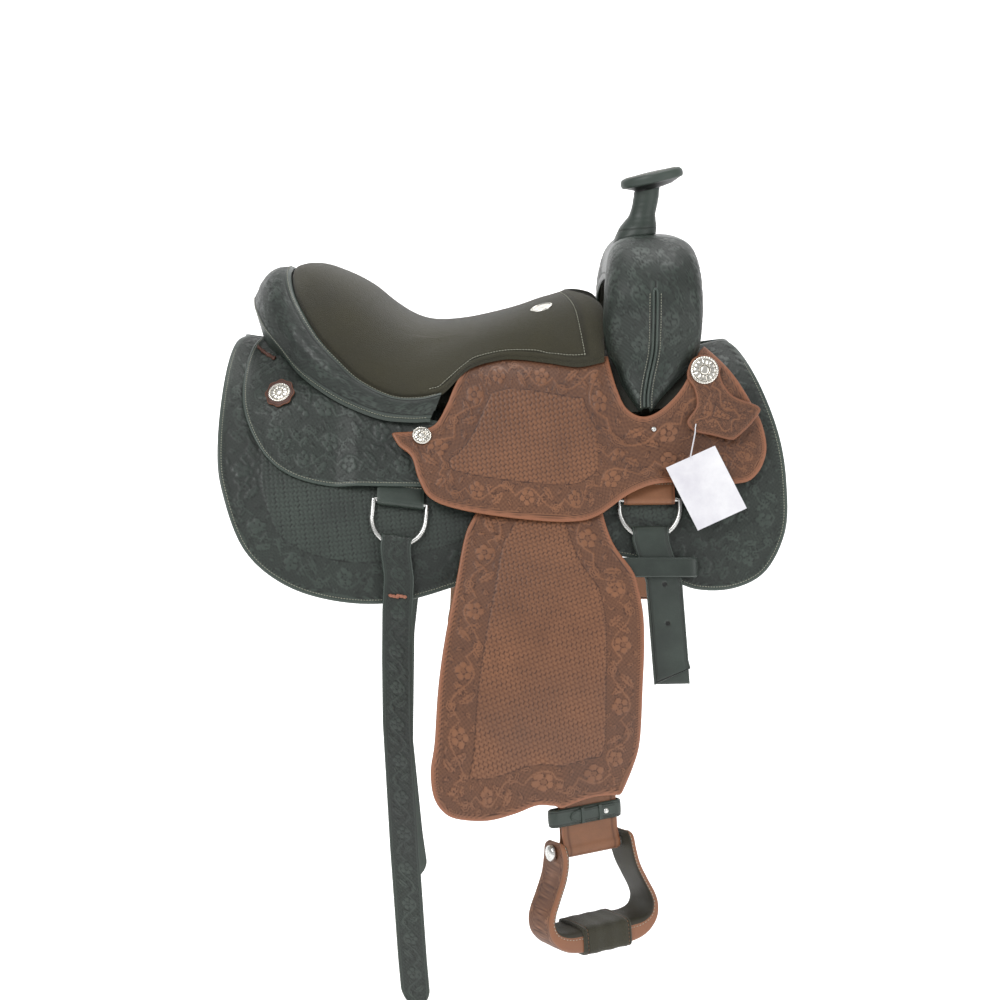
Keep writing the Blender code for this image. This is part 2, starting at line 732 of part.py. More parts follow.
def horn():
    base = Vector(HORN_BASE)
    top = Vector(HORN_TOP)
    axis = Vector((-math.sin(HORN_CAP_TILT), 0, math.cos(HORN_CAP_TILT)))
    ahead = Vector((math.cos(HORN_CAP_TILT), 0, math.sin(HORN_CAP_TILT)))
    inner = 8.0 * MM
    wrap_outer = []
    wrap_inner = []
    core = []
    steps = 7
    for k in range(steps):
        t = k / (steps - 1)
        centre = base.lerp(top, t) + Vector((0.004, 0, 0)) * math.sin(math.pi * t)
        flare = NECK_RADIUS + (NECK_FOOT - NECK_RADIUS) * (1 - ease(t / 0.45))
        front = Vector((1, 0, 0)).lerp(ahead, t).normalized()
        wrap_outer.append(ring(centre, front, Vector((0, 1, 0)), flare, flare * 0.92, 16))
        wrap_inner.append(ring(centre, front, Vector((0, 1, 0)), inner + GAP, inner + GAP, 16))
        core.append(ring(centre, front, Vector((0, 1, 0)), inner, inner, 16))
    add("horn_wrap", [slab(wrap_outer, wrap_inner, wrap=True)], "green_leather")
    under = top + axis * (GAP + 0.2 * MM)
    core.append(ring(under, ahead, Vector((0, 1, 0)), inner, inner, 16))
    core.append(ring(under, ahead, Vector((0, 1, 0)), 24 * MM, 21 * MM, 16))
    core.append(ring(under + axis * 4 * MM, ahead, Vector((0, 1, 0)), 24 * MM, 21 * MM, 16))
    add("horn_post", [loft(core)], "steel")


def horn_cap():
    """Leather cap laced over the horn's plate, hollow underneath."""
    top = Vector(HORN_TOP)
    axis = Vector((-math.sin(HORN_CAP_TILT), 0, math.cos(HORN_CAP_TILT)))
    ahead = Vector((math.cos(HORN_CAP_TILT), 0, math.sin(HORN_CAP_TILT)))
    seat = GAP + 0.2 * MM
    middle = top + ahead * 7 * MM
    across = Vector((0, 1, 0))

    def outer(radius, height):
        return ring(middle + axis * height * MM, ahead, across, HORN_CAP_LENGTH / 2 * radius,
                    HORN_CAP_WIDTH / 2 * radius, 24)

    def inside(a, b, height):
        return ring(top + axis * height, ahead, across, a, b, 24)
    loops = [inside(24.6 * MM, 21.6 * MM, seat + 4.6 * MM), inside(24.6 * MM, 21.6 * MM, seat - 1.0 * MM),
             outer(0.84, 0.0), outer(0.98, 2.5), outer(1.0, 5.5), outer(0.97, 8.5), outer(0.86, 10.6),
             outer(0.6, 11.6)]
    add("horn_cap", [loft(loops)], "black_leather")


# Hanging strap work

def frame_place(origin, side, down, outward):
    """Placement of across, down and lift in a flat frame."""
    return lambda s, v, lift: origin + side * s + down * v + outward * lift


def band(place, rows, centre, half, low, high, wall, bulge):
    """Flat loop round a strap: straight faces, rounded ends and open top and bottom."""
    inner = []
    outer = []
    for v in rows:
        for grid, grow in ((inner, 0.0), (outer, wall)):
            h, top, under = half + grow * 0.4, high + grow, low - grow
            middle, tip = (top + under) / 2, half + bulge + grow
            loop = [(h * k, top) for k in (-1, -0.5, 0, 0.5, 1)] + [(tip, middle)]
            loop += [(h * k, under) for k in (1, 0.5, 0, -0.5, -1)] + [(-tip, middle)]
            grid.append([place(centre + s, v, lift) for s, lift in loop])
    return slab(outer, inner, wrap=True)


def strap(place, path, halves, thickness, columns=(-1, -0.5, 0, 0.5, 1)):
    """Strap along a path of drop and lift pairs, as wide at each as twice its half width."""
    points = np.array(path, float)
    along = np.gradient(points, axis=0)
    along /= np.linalg.norm(along, axis=1, keepdims=True)
    normal = np.stack([-along[:, 1], along[:, 0]], axis=1) * thickness / 2
    top = [[place(half * k, *(p + n)) for k in columns] for p, n, half in zip(points, normal, halves)]
    bottom = [[place(half * k, *(p - n)) for k in columns] for p, n, half in zip(points, normal, halves)]
    return slab(top, bottom)


def around(centre, lift, radius, angles):
    return [(centre + radius * math.cos(math.radians(a)), lift + radius * math.sin(math.radians(a)))
            for a in angles]


# Stirrup leathers

LEATHER_HALF = LEATHER_WIDTH / 2
RETURN_LIFT = -(LEATHER_THICK + GAP)
BOLT_LIFT = RETURN_LIFT / 2
BOLT_POINT = hang(0, BOLT_DROP, BOLT_LIFT)


def stirrup_leathers():
    """Leather from its pivot down round the stirrup bolt and back up behind to the buckle plate."""
    turn = BOLT_RADIUS + 0.5 * MM + LEATHER_THICK / 2
    path = [(u * MM, 0.0) for u in (-37.4, -34, -27, -16, 0, 30, 65, 100, 130)]
    path += [(u * MM, 0.0) for u in range(150, 451, 20)]
    path += [(0.4575, 0.0006)] + around(BOLT_DROP, BOLT_LIFT, turn, (135, 100, 65, 30, 0, -30, -65, -100, -135))
    path += [(0.4575, RETURN_LIFT - 0.0006)] + [(u * MM, RETURN_LIFT) for u in range(450, 344, -21)]
    halves = [math.sqrt(max(0.0, LEATHER_HALF ** 2 - min(0.0, u) ** 2)) for u, _ in path]
    solid = strap(hang, path, halves, LEATHER_THICK, (-1, 0, 1))
    both("stirrup_leather", [solid], "tan_leather", HANG_POINT)


def leather_bights():
    """Fixed end of each leather, let into the channel across the tree bar."""
    columns = (-1, -0.5, 0, 0.5, 1)
    edge = PIVOT_STATION + np.array(columns) * LEATHER_HALF
    top = []
    bottom = []
    for grid, rise in ((top, LEATHER_THICK), (bottom, 0.0)):
        for girth, lift in ((0.065, 32.6), (0.082, 32.7), (0.100, 32.6), (0.122, 31.0), (0.1305, 28.0)):
            grid.append([barrel(x, girth, lift * MM + rise) for x in edge])
        for drop in (-0.0445, -0.0392):
            grid.append([hang(k * LEATHER_HALF, drop, rise - LEATHER_THICK / 2) for k in columns])
    both("leather_bight", [slab(top, bottom)], "tan_leather")


FENDER_REAR = [(-80, 30), (-105, 65), (-120, 92), (-135, 145), (-144, 175), (-156, 214), (-172, 270),
               (-186, 325), (-197, 355), (-199, 381), (-191, 399), (-175, 410), (-138, 418), (-102, 416),
               (-72, 411), (-49, 415)]
FENDER_TIP = [(-49, 415), (-39, 419), (-21, 416), (6, 413), (40, 416)]
FENDER_FRONT = [(40, 416), (45, 411), (60, 384), (70, 354), (76, 290), (81, 241), (83, 202), (80, 168),
                (76, 150), (61, 124), (54, 106), (49, 80), (46, 40), (43, 5), (34, -24)]
FENDER_TOP = [(34, -24), (0, -41), (-34, -24), (-58, 0), (-80, 30)]


def fender_in(across, drop):
    return LEATHER_THICK / 2 + GAP + 2.6 * MM * ease((drop - 0.12) / 0.10)


def fenders():
    edge = outline(FENDER_REAR, FENDER_TIP, FENDER_FRONT, FENDER_TOP, spacing=0.019)
    columns = [-0.168, -0.135, -0.102, -0.070, -0.038, -0.006, 0.026, 0.055]
    solid = sheet(edge, fender_in, lambda s, u: fender_in(s, u) + FENDER_THICK, place=hang,
                  rows=list(range(-14, 410, 29)), columns=columns, squeeze=1.0, margin=0.009)
    both("fender", [solid], "tan_leather", HANG_POINT)


HOBBLE_CENTRE = -4.0 * MM
HOBBLE_WALL = 2.5 * MM


def hobbles():
    rows = [HOBBLE_DROP + HOBBLE_WIDTH * k for k in (-0.5, 0, 0.5)]
    low = RETURN_LIFT - LEATHER_THICK / 2 - GAP
    high = LEATHER_THICK / 2 + GAP
    both("hobble_strap", [band(hang, rows, HOBBLE_CENTRE, 41.5 * MM, low, high, HOBBLE_WALL, 4.5 * MM)],
         "green_leather", HANG_POINT)


SLEEVE_HALF = 0.015
SLEEVE_ROOM = 0.0405
SLEEVE_DROP = HOBBLE_DROP - HOBBLE_WIDTH / 2 - SLEEVE_ROOM - SLEEVE_HALF
SLEEVE_WALL = 0.9 * MM
PLATE_THICK = 1.5 * MM


def buckle_plates():
    """Quick-change buckle: a plate on the returned end, and the sleeve that slides over it."""
    near = RETURN_LIFT - LEATHER_THICK / 2 - 0.5 * MM
    rows = [SLEEVE_DROP + (k - 1) * 0.016 for k in range(4)]
    columns = [k * 0.0345 for k in (-1, -0.5, 0, 0.5, 1)]
    top = [[hang(s, u, near) for s in columns] for u in rows]
    bottom = [[hang(s, u, near - PLATE_THICK) for s in columns] for u in rows]
    both("blevins_plate", [slab(top, bottom)], "steel", HANG_POINT)
    rows = [SLEEVE_DROP + SLEEVE_HALF * k for k in (-1, -0.33, 0.33, 1)]
    low = near - PLATE_THICK - 1.2 * MM
    high = LEATHER_THICK / 2 + 1.2 * MM
    pivot = hang(0, SLEEVE_DROP, BOLT_LIFT)
    both("blevins_sleeve", [band(hang, rows, 0.0, LEATHER_HALF + 0.4 * MM, low, high, SLEEVE_WALL, 1.2 * MM)],
         "steel", pivot)


# Stirrups

ROUNDED = ((-1, -0.62), (-0.6, -1), (0.6, -1), (1, -0.62), (1, 0.62), (0.6, 1), (-0.6, 1), (-1, 0.62))


def stirrups():
    down, side, outward = hang_turn(BOLT_DROP)
    place = frame_place(BOLT_POINT, side, down, outward)
    half = [(s * MM, v * MM, t * MM, d * MM) for s, v, t, d in STIRRUP_LEG]
    path = half + [(0.0, half[-1][1], half[-1][2], half[-1][3])]
    path += [(-s, v, t, d) for s, v, t, d in reversed(half)]
    points = np.array([(s, v) for s, v, _, _ in path])
    along = np.gradient(points, axis=0)
    along /= np.linalg.norm(along, axis=1, keepdims=True)
    loops = []
    for (s, v, thick, depth), (ds, dv) in zip(path, along):
        ns, nv = dv, -ds
        loop = []
        for a, b in ROUNDED:
            off = b * thick / 2
            loop.append(place(s + ns * off, v + nv * off, a * depth / 2))
        loops.append(loop)
    pair = both("stirrup", [loft(loops)], "tan_leather", BOLT_POINT)
    for thing, turn in zip(pair, (1, -1)):
        axis = Vector((side.x, side.y * turn, side.z))
        hole = turned([(BOLT_RADIUS + 0.4 * MM, -0.06), (BOLT_RADIUS + 0.4 * MM, 0.06)], 16, (0, 0, 0), axis)
        drill(thing, [hole])
    tread_wrap(place)
    bolts(side)


def tread_wrap(place):
    """Suede sleeve sewn round the tread."""
    middle = STIRRUP_LEG[-1][1] * MM
    high = STIRRUP_LEG[-1][2] * MM / 2 + 0.5 * MM
    deep = STIRRUP_LEG[-1][3] * MM / 2 + 0.5 * MM
    inner = []
    outer = []
    for s in (-0.033, -0.022, 0.0, 0.022, 0.033):
        for grid, grow in ((inner, 0.0), (outer, TREAD_WRAP)):
            loop = []
            for a, b in ROUNDED:
                loop.append(place(s, middle + b * (high + grow), a * (deep + grow)))
            grid.append(loop)
    both("stirrup_tread", [slab(outer, inner, wrap=True)], "suede", BOLT_POINT)


def bolts(side):
    inside, outside, head = 51.3 * MM, 55.3 * MM, 9.5 * MM
    profile = [(head, -outside), (head, -inside), (BOLT_RADIUS, -inside), (BOLT_RADIUS, inside), (head, inside),
               (head, outside)]
    both("stirrup_bolt", [turned(profile, 12, BOLT_POINT, side)], "steel", BOLT_POINT)


# Rigging: dees, their straps, and what hangs from them

WIRE_FOLD = DEE_WIRE + 0.5 * MM
FOLD_THICK = 2.4 * MM
BAR_LIFT = STRAP_IN + WIRE_FOLD + FOLD_THICK
LAYER = STRAP_THICK / 2 + 0.3 * MM
BOW_CLEAR = 12.5 * MM


def dee_strap(low, high, top, bar):
    """Strap doubled round the bar of a dee, sewn down under the jockey above it."""
    fold = WIRE_FOLD + FOLD_THICK
    join = bar - 0.0165
    girths = [top + (join - top) * k / 5 for k in range(6)]
    outer = [(girth, STRAP_IN) for girth in girths]
    outer += around(bar, BAR_LIFT, fold, (-90, -60, -30, 0, 30, 60, 90))
    outer += [(girth, STRAP_OUT) for girth in girths[::-1]]
    inner = [(girth, STRAP_IN + FOLD_THICK) for girth in girths]
    inner += around(bar, BAR_LIFT, WIRE_FOLD, (-125, -85, -40, 0, 40, 85, 125))
    inner += [(girth, STRAP_OUT - FOLD_THICK) for girth in girths[::-1]]
    stations = (low, (low + high) / 2, high)
    faces = [[[barrel(x, girth, lift) for x in stations] for girth, lift in path] for path in (outer, inner)]
    return slab(*faces)


def dee_frame(dee):
    """Bar centre of a dee with its forward, down and outward directions."""
    station, girth, width, height = dee
    centre = barrel(station, girth, BAR_LIFT)
    side = (barrel(station + 0.02, girth, BAR_LIFT) - barrel(station - 0.02, girth, BAR_LIFT)).normalized()
    bow = barrel(station, girth + height, SKIRT_OUT + GAP + STRAP_THICK + WIRE_FOLD)
    down = bow - centre
    down = (down - side * down.dot(side)).normalized()
    outward = side.cross(down)
    if outward.y > 0:
        outward.negate()
    return centre, side, down, outward


def dee_ring(dee):
    centre, side, down, _ = dee_frame(dee)
    half = dee[2] / 2 - DEE_WIRE
    shoulder = dee[3] - half
    path = [centre + side * half * k for k in (-1, -0.5, 0, 0.5, 1)]
    for angle in range(0, 181, 15):
        path.append(centre + side * half * math.cos(math.radians(angle))
                    + down * (shoulder + half * math.sin(math.radians(angle))))
    return tube(path, DEE_WIRE, 8, closed=True)


def bow_place(dee, half_width):
    """Where a strap's fold sits in the bow of a dee, and the centre of the bow that it slides round."""
    centre, _, down, _ = dee_frame(dee)
    half = dee[2] / 2 - DEE_WIRE
    shoulder = dee[3] - half
    inside = math.sqrt((half - DEE_WIRE) ** 2 - half_width ** 2)
    return centre + down * (shoulder + inside - 0.9 * MM + WIRE_FOLD), centre + down * shoulder


def doubled(side, down, outward, centres, spread, halves, back, cut=0.0):
    """Strap looped over a ring: up behind it for some of its centres, over, and down in front."""
    faces = []
    for k in range(len(centres)):
        ahead = centres[min(k + 1, len(centres) - 1)]
        behind = centres[max(k - 1, 0)]
        face = (ahead - behind).cross(side).normalized()
        faces.append(face if face.dot(outward) > 0 else -face)
    faces[0] = outward
    stations = []
    for k in range(back - 1, 0, -1):
        stations.append((centres[k] - faces[k] * spread[k], -faces[k], halves[k], 0.0))
    for angle in (-90, -60, -30, 0, 30, 60, 90):
        c, s = math.cos(math.radians(angle)), math.sin(math.radians(angle))
        face = outward * s - down * c
        stations.append((centres[0] + face * spread[0], face, halves[0], 0.0))
    for k in range(1, len(centres)):
        slant = cut if k == len(centres) - 1 else 0.0
        stations.append((centres[k] + faces[k] * spread[k], faces[k], halves[k], slant))
    loops = []
    for point, face, half, slant in stations:
        depth = face.normalized() * STRAP_THICK / 2
        a = point - side * half
        b = point + side * half + Vector((0, 0, slant))
        loops.append([a - depth, b - depth, b + depth, a + depth])
    return loft(loops)


def front_rigging():
    station, girth, _, height = FRONT_DEE
    half_width = OFF_BILLET_WIDTH / 2
    both("rigging", [dee_strap(station - 0.031, station + 0.031, 0.136, girth)], "tan_leather")
    centre, side, down, outward = dee_frame(FRONT_DEE)
    both("front_dee", [dee_ring(FRONT_DEE)], "steel", centre)
    bow, turn = bow_place(FRONT_DEE, half_width)
    edge = barrel(station + BILLET_LEAN / 2, girth + height + 0.024, 26.8 * MM)
    past = barrel(station + BILLET_LEAN, girth + height + 0.048, 27.0 * MM)
    loose = WIRE_FOLD + STRAP_THICK / 2
    for name, hand, material_name, drops in (("off_billet", OFF, "green_leather", OFF_BILLET_DROPS),
                                             ("latigo", NEAR, "tan_leather", LATIGO_DROPS)):
        centres = [bow, bow + down * BOW_CLEAR, edge, past]
        centres += [past + Vector((0.09 * drop, -0.05 * drop, -drop)) for drop in drops]
        spread = [loose, loose] + [LAYER] * (len(centres) - 2)
        halves = [half_width] * len(centres)
        add(name, [doubled(side, down, outward, centres, spread, halves, len(centres), 0.020)], material_name,
            hand, pivot=turn)
    _, level, lower, off_hide = barrel_frame(station + BILLET_LEAN / 2, girth + height + 0.024, 26.8 * MM)
    place = frame_place(edge, level, lower, off_hide)
    half = LAYER + STRAP_THICK / 2 + GAP + 1.8 * MM
    loop = band(place, [-0.003, 0.009, 0.021], 0.0, 0.044, 1 * MM - half, half, 2.4 * MM, 3.0 * MM)
    add("billet_keeper", [loop], "green_leather", OFF, pivot=turn)


def rear_rigging():
    station, girth, _, height = REAR_DEE
    half = REAR_BILLET_WIDTH / 2
    both("rear_dee_strap", [dee_strap(station - 0.028, station + 0.028, 0.168, girth)], "green_leather")
    centre, side, down, outward = dee_frame(REAR_DEE)
    both("rear_dee", [dee_ring(REAR_DEE)], "steel", centre)
    bow, turn = bow_place(REAR_DEE, half)
    edge = barrel(station - 0.001, 0.335, 26.0 * MM)
    past = barrel(station - 0.003, 0.372, 25.0 * MM)
    loose = WIRE_FOLD + STRAP_THICK / 2
    tail = ((-1, -1, 60), (-1, 1, 140), (6, 6, 300), (14, 10, 440), (18, 11, 492), (19, 11, 506))
    spread = [loose, loose, LAYER, LAYER, LAYER] + [0.0] * (len(tail) - 1)
    halves = [half] * (len(tail) + 2) + [half * 0.9, half * 0.35]
    straight = (0.0,) * len(tail)
    for name, hand, leans in (("rear_billet_off", OFF, straight), ("rear_billet_near", NEAR, NEAR_BILLET_LEAN)):
        centres = [bow, bow + down * BOW_CLEAR, edge, past]
        centres += [past + Vector(((x + lean) * MM, y * MM, -z * MM)) for (x, y, z), lean in zip(tail, leans)]
        add(name, [doubled(side, down, outward, centres, spread, halves, 3)], "green_leather", hand, pivot=turn)


# Silver, keeper, badge, lacing and tag

def surface_frame(x, girth, lift_of, above):
    """Point above a leather surface with its forward, down and outward directions."""
    def at(a, b):
        return barrel(a, b, lift_of(a, b) + above)
    centre = at(x, girth)
    side = (at(x + 0.006, girth) - at(x - 0.006, girth)).normalized()
    down = (at(x, girth + 0.010) - at(x, girth - 0.010)).normalized()
    outward = side.cross(down).normalized()
    if outward.y > 0:
        outward.negate()
    return centre, side, (down - side * down.dot(side)).normalized(), outward


CONCHO_PROFILE = ((1.0, 0.0, 0.05), (1.0, 1.2, 0.05), (0.78, 2.2, 0.02), (0.5, 3.2, 0.0), (0.2, 4.0, 0.0))


def concho(frame, radius, stretch=1.0, washer=0.0):
    """Domed disc with a scalloped edge, on a leather washer if that has a radius."""
    centre, side, down, outward = frame
    base = 2.2 if washer else 0.0
    profile = [(radius * size, base + height, scallop) for size, height, scallop in CONCHO_PROFILE]
    if washer:
        profile = [(washer, 0.0, 0.05), (washer, base, 0.05), (radius, base, 0.05)] + profile[1:]
    loops = []
    for size, height, scallop in profile:
        loop = []
        for k in range(16):
            angle = math.tau * k / 16
            reach = size * (1 + scallop * math.cos(8 * angle))
            loop.append(centre + side * reach * stretch * math.cos(angle) + down * reach * math.sin(angle)
                        + outward * height * MM)
        loops.append(loop)
    return loft(loops)


def plate(place, points, low, high):
    """Flat piece cut to an outline in millimetres."""
    return loft([[place(s * MM, v * MM, lift) for s, v in points] for lift in (low, high)])


KEEPER_THICK = 3.0 * MM
KEEPER_LINE = [(14, -12), (2, -19), (-12, -16), (-19, -5), (-21, 9), (-13, 22), (-10, 43), (-20, 59),
               (-21, 66), (-12, 75), (10, 80), (31, 85), (39, 82), (56, 66), (67, 51), (66, 45), (59, 41),
               (36, 32), (24, 18), (19, 4), (20, -5)]
TIE_PLACE = (-11.0 * MM, 66.0 * MM)


def keeper_frame():
    """Flat frame of the keeper: hung from its concho and lying on the swell of the jockey below."""
    centre, side, _, _ = surface_frame(0.249, 0.093, jockey_top, 3.4 * MM)
    rest = barrel(0.249, 0.130, jockey_top(0.249, 0.130) + 1.8 * MM)
    down = (rest - centre).normalized()
    side = (side - down * side.dot(down)).normalized()
    outward = side.cross(down)
    if outward.y > 0:
        outward.negate()
    proud = max((barrel(x * MM, w * MM, jockey_top(x * MM, w * MM)) - centre).dot(outward)
                for x in range(228, 320, 8) for w in range(88, 164, 6))
    return centre + outward * (proud + 0.2 * MM), side, down, outward


KEEPER_FRAME = keeper_frame()


def keepers():
    centre, side, down, outward = KEEPER_FRAME
    place = frame_place(centre, side, down, outward)
    pair = both("latigo_keeper", [plate(place, KEEPER_LINE, 0.0, KEEPER_THICK)], "tan_leather", centre)
    for thing, turn in zip(pair, (1, -1)):
        axis = Vector((outward.x, outward.y * turn, outward.z))
        holes = [turned([(2.6 * MM, -0.01), (2.6 * MM, 0.01)], 12, (0, 0, 0), axis)]
        if turn == 1:
            spot = side * TIE_PLACE[0] + down * TIE_PLACE[1]
            holes.append(turned([(2.2 * MM, -0.01), (2.2 * MM, 0.01)], 12, spot, axis))
        drill(thing, holes)


def conchos():
    centre, side, down, outward = KEEPER_FRAME
    front = (centre + outward * (KEEPER_THICK + 0.5 * MM), side, down, outward)
    both("front_concho", [concho(front, 17.0 * MM)], "silver")
    seat = surface_frame(-0.094, 0.1715, jockey_top, 0.8 * MM)
    both("seat_concho", [concho(seat, 11.5 * MM)], "silver")
    rear = surface_frame(-0.266, 0.141, rear_jockey_lift, JOCKEY_THICK + 0.7 * MM)
    both("rear_concho", [concho(rear, 12.5 * MM, 1.12, 18.0 * MM)], "silver")


def seat_badge():
    middle = seat_point(2, -0.42)
    side = (seat_point(1, -0.42) - seat_point(3, -0.42)).normalized()
    down = (seat_point(2, -0.50) - seat_point(2, -0.34)).normalized()
    outward = side.cross(down)
    if outward.z < 0:
        outward.negate()
    down = (down - side * down.dot(side)).normalized()
    loops = []
    for size, height in ((1.0, 0.1), (1.0, 0.9), (0.9, 1.5)):
        loops.append([middle + side * 14 * MM * size * math.cos(a) + down * 9.5 * MM * size * math.sin(a)
                      + outward * height * MM for a in (math.tau * k / 20 for k in range(20))])
    add("seat_badge", [loft(loops)], "silver")


TAG_CORNER = (0.200, -0.173, -0.104)
TAG_TOP = (0.060, 0.013, 0.025)
TAG_SIDE = (0.0385, -0.014, -0.0745)
TAG_THICK = 0.9 * MM


def hang_tag():
    """Blank card on a thread through the lower hole of the off keeper."""
    centre, side, down, outward = KEEPER_FRAME
    corner, top, long_side = Vector(TAG_CORNER), Vector(TAG_TOP), Vector(TAG_SIDE)
    face = top.cross(long_side).normalized()
    if face.y > 0:
        face.negate()
    card = [corner, corner + top, corner + top + long_side, corner + long_side]
    middle = corner + top / 2
    knot = middle + long_side.normalized() * 5 * MM
    off = TAG_THICK / 2 + 0.5 * MM
    s, v = TIE_PLACE
    place = frame_place(centre, side, down, outward)
    front = [place(s, v, 4.4 * MM)]
    front += [place(s - 1 * MM, v + 5 * MM, 5.0 * MM), place(s - 1 * MM, v + 11 * MM, 4.4 * MM)]
    back = [place(s, v, -1.4 * MM)]
    back += [place(s - 1 * MM, v + 5 * MM, -2.0 * MM), place(s - 1 * MM, v + 11 * MM, -1.4 * MM)]
    thread = [knot + face * off, middle + face * off] + front[::-1] + [place(s, v, 1.5 * MM)]
    thread += back + [middle - face * off, knot - face * off]
    solid = loft([[p + face * TAG_THICK / 2 * way for p in card] for way in (-1, 1)])
    thing = add("hang_tag", [solid], "card", pivot=place(s, v, KEEPER_THICK / 2))
    join(thing, [tube(thread, 0.7 * MM, 6)])


def clear_scene():
    for thing in list(bpy.data.objects):
        bpy.data.objects.remove(thing, do_unlink=True)


def build():
    clear_scene()
    skirts()
    tree_bars()
    rear_jockeys()
    jockeys()
    seat_pad()
    seat_carriers()
    cantle_cover()
    fork()
    horn()
    horn_cap()
    leather_bights()
    stirrup_leathers()
    fenders()
    hobbles()
    buckle_plates()
    stirrups()
    front_rigging()
    rear_rigging()
    keepers()
    conchos()
    seat_badge()
    hang_tag()


build()
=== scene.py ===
"""Looks of the barrel racing saddle: tooled leathers, suede seat, fleece, silver and steel."""
import json
import math

import bpy
import bmesh
import numpy as np
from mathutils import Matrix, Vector, geometry

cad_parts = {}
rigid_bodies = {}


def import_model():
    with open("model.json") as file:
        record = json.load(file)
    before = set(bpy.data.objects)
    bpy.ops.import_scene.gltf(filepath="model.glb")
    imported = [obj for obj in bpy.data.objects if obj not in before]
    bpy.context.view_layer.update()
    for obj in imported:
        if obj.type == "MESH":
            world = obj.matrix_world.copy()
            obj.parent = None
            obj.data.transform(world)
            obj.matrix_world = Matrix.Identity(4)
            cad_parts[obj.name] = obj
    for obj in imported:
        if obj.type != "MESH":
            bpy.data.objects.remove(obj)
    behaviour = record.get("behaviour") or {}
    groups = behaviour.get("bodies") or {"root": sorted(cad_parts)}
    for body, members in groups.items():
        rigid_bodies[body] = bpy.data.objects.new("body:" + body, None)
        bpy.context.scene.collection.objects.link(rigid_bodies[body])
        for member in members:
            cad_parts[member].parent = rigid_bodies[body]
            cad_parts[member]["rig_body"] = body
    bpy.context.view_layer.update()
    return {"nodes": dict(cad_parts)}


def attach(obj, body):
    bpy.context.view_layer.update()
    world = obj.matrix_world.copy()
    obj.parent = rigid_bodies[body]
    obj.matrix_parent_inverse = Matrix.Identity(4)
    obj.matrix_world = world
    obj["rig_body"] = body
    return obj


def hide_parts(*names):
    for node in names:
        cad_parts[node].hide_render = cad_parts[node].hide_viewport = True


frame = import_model()

# Fleece and skirts
# Sheepskin is glued and sewn under each skirt, a heavy leather sheet tooled along its edge.
# The tooling is cut into the face; its hollows are painted darker as shade, and its edges are painted lighter
# as wear and highlight.

MM = 0.001
GAP = 0.8 * MM
HALF_WIDTH = 0.205
FRONT_TAPER = 0.14
BARREL_DEPTH = 0.40
BACK_DIP = 0.020
DIP_REACH = 0.30
SHARP_ANGLE = math.radians(50)
ON_SADDLE = ("saddle", "saddle")
FLEECE_THICK = 12.0 * MM
SKIRT_IN = FLEECE_THICK + GAP
SKIRT_OUT = SKIRT_IN + 5.0 * MM
SKIRT_LINE = [(-322, 1), (-332, 40), (-337, 120), (-338, 215), (-330, 268), (-303, 330), (-255, 362),
              (-190, 371), (-120, 362), (-40, 332), (30, 305), (100, 291), (165, 297), (205, 320),
              (240, 335), (286, 336), (325, 318), (349, 272), (351, 215), (344, 160), (326, 100), (302, 40),
              (284, 1)]
CHANNEL_LINE = [(284, 1), (200, 26), (0, 34), (-200, 26), (-322, 1)]


def node(tree, kind, inputs=None, **settings):
    made = tree.nodes.new(kind)
    for key, value in settings.items():
        setattr(made, key, value)
    for key, value in (inputs or {}).items():
        if isinstance(value, bpy.types.NodeSocket):
            tree.links.new(value, made.inputs[key])
        else:
            made.inputs[key].default_value = value
    return made


def mix(tree, factor, a, b, blend="MIX"):
    made = node(tree, "ShaderNodeMix", {0: factor}, data_type="RGBA", blend_type=blend)
    for key, value in ((6, a), (7, b)):
        if isinstance(value, bpy.types.NodeSocket):
            tree.links.new(value, made.inputs[key])
        else:
            made.inputs[key].default_value = (*value, 1)
    return made.outputs[2]


def scaled(tree, value, low, high, start=0.0, end=1.0):
    made = node(tree, "ShaderNodeMapRange", {0: value, 1: start, 2: end, 3: low, 4: high})
    return made.outputs[0]


def hide_group():
    """Shared grain: mottling of the dye, pores and creases, all from the piece's own place."""
    tree = bpy.data.node_groups.new("hide", "ShaderNodeTree")
    tree.interface.new_socket("Scale", in_out="INPUT", socket_type="NodeSocketFloat")
    for name in ("Mottle", "Grain", "Pores"):
        tree.interface.new_socket(name, in_out="OUTPUT", socket_type="NodeSocketFloat")
    given = tree.nodes.new("NodeGroupInput")
    result = tree.nodes.new("NodeGroupOutput")
    place = tree.nodes.new("ShaderNodeTexCoord").outputs["Object"]
    sized = node(tree, "ShaderNodeVectorMath", {0: place, 3: given.outputs["Scale"]}, operation="SCALE")
    at = sized.outputs[0]
    mottle = node(tree, "ShaderNodeTexNoise", {"Vector": at, "Scale": 11.0, "Detail": 6.0, "Roughness": 0.62})
    grain = node(tree, "ShaderNodeTexNoise", {"Vector": at, "Scale": 520.0, "Detail": 4.0, "Roughness": 0.7})
    pores = node(tree, "ShaderNodeTexVoronoi", {"Vector": at, "Scale": 640.0}, feature="DISTANCE_TO_EDGE")
    tree.links.new(mottle.outputs[0], result.inputs["Mottle"])
    tree.links.new(grain.outputs[0], result.inputs["Grain"])
    tree.links.new(pores.outputs[0], result.inputs["Pores"])
    return tree


HIDE = hide_group()


def new_material(name, roughness, metallic=0.0):
    made = bpy.data.materials.new(name)
    made.use_nodes = True
    shader = made.node_tree.nodes["Principled BSDF"]
    shader.inputs["Roughness"].default_value = roughness
    shader.inputs["Metallic"].default_value = metallic
    return made, made.node_tree, shader


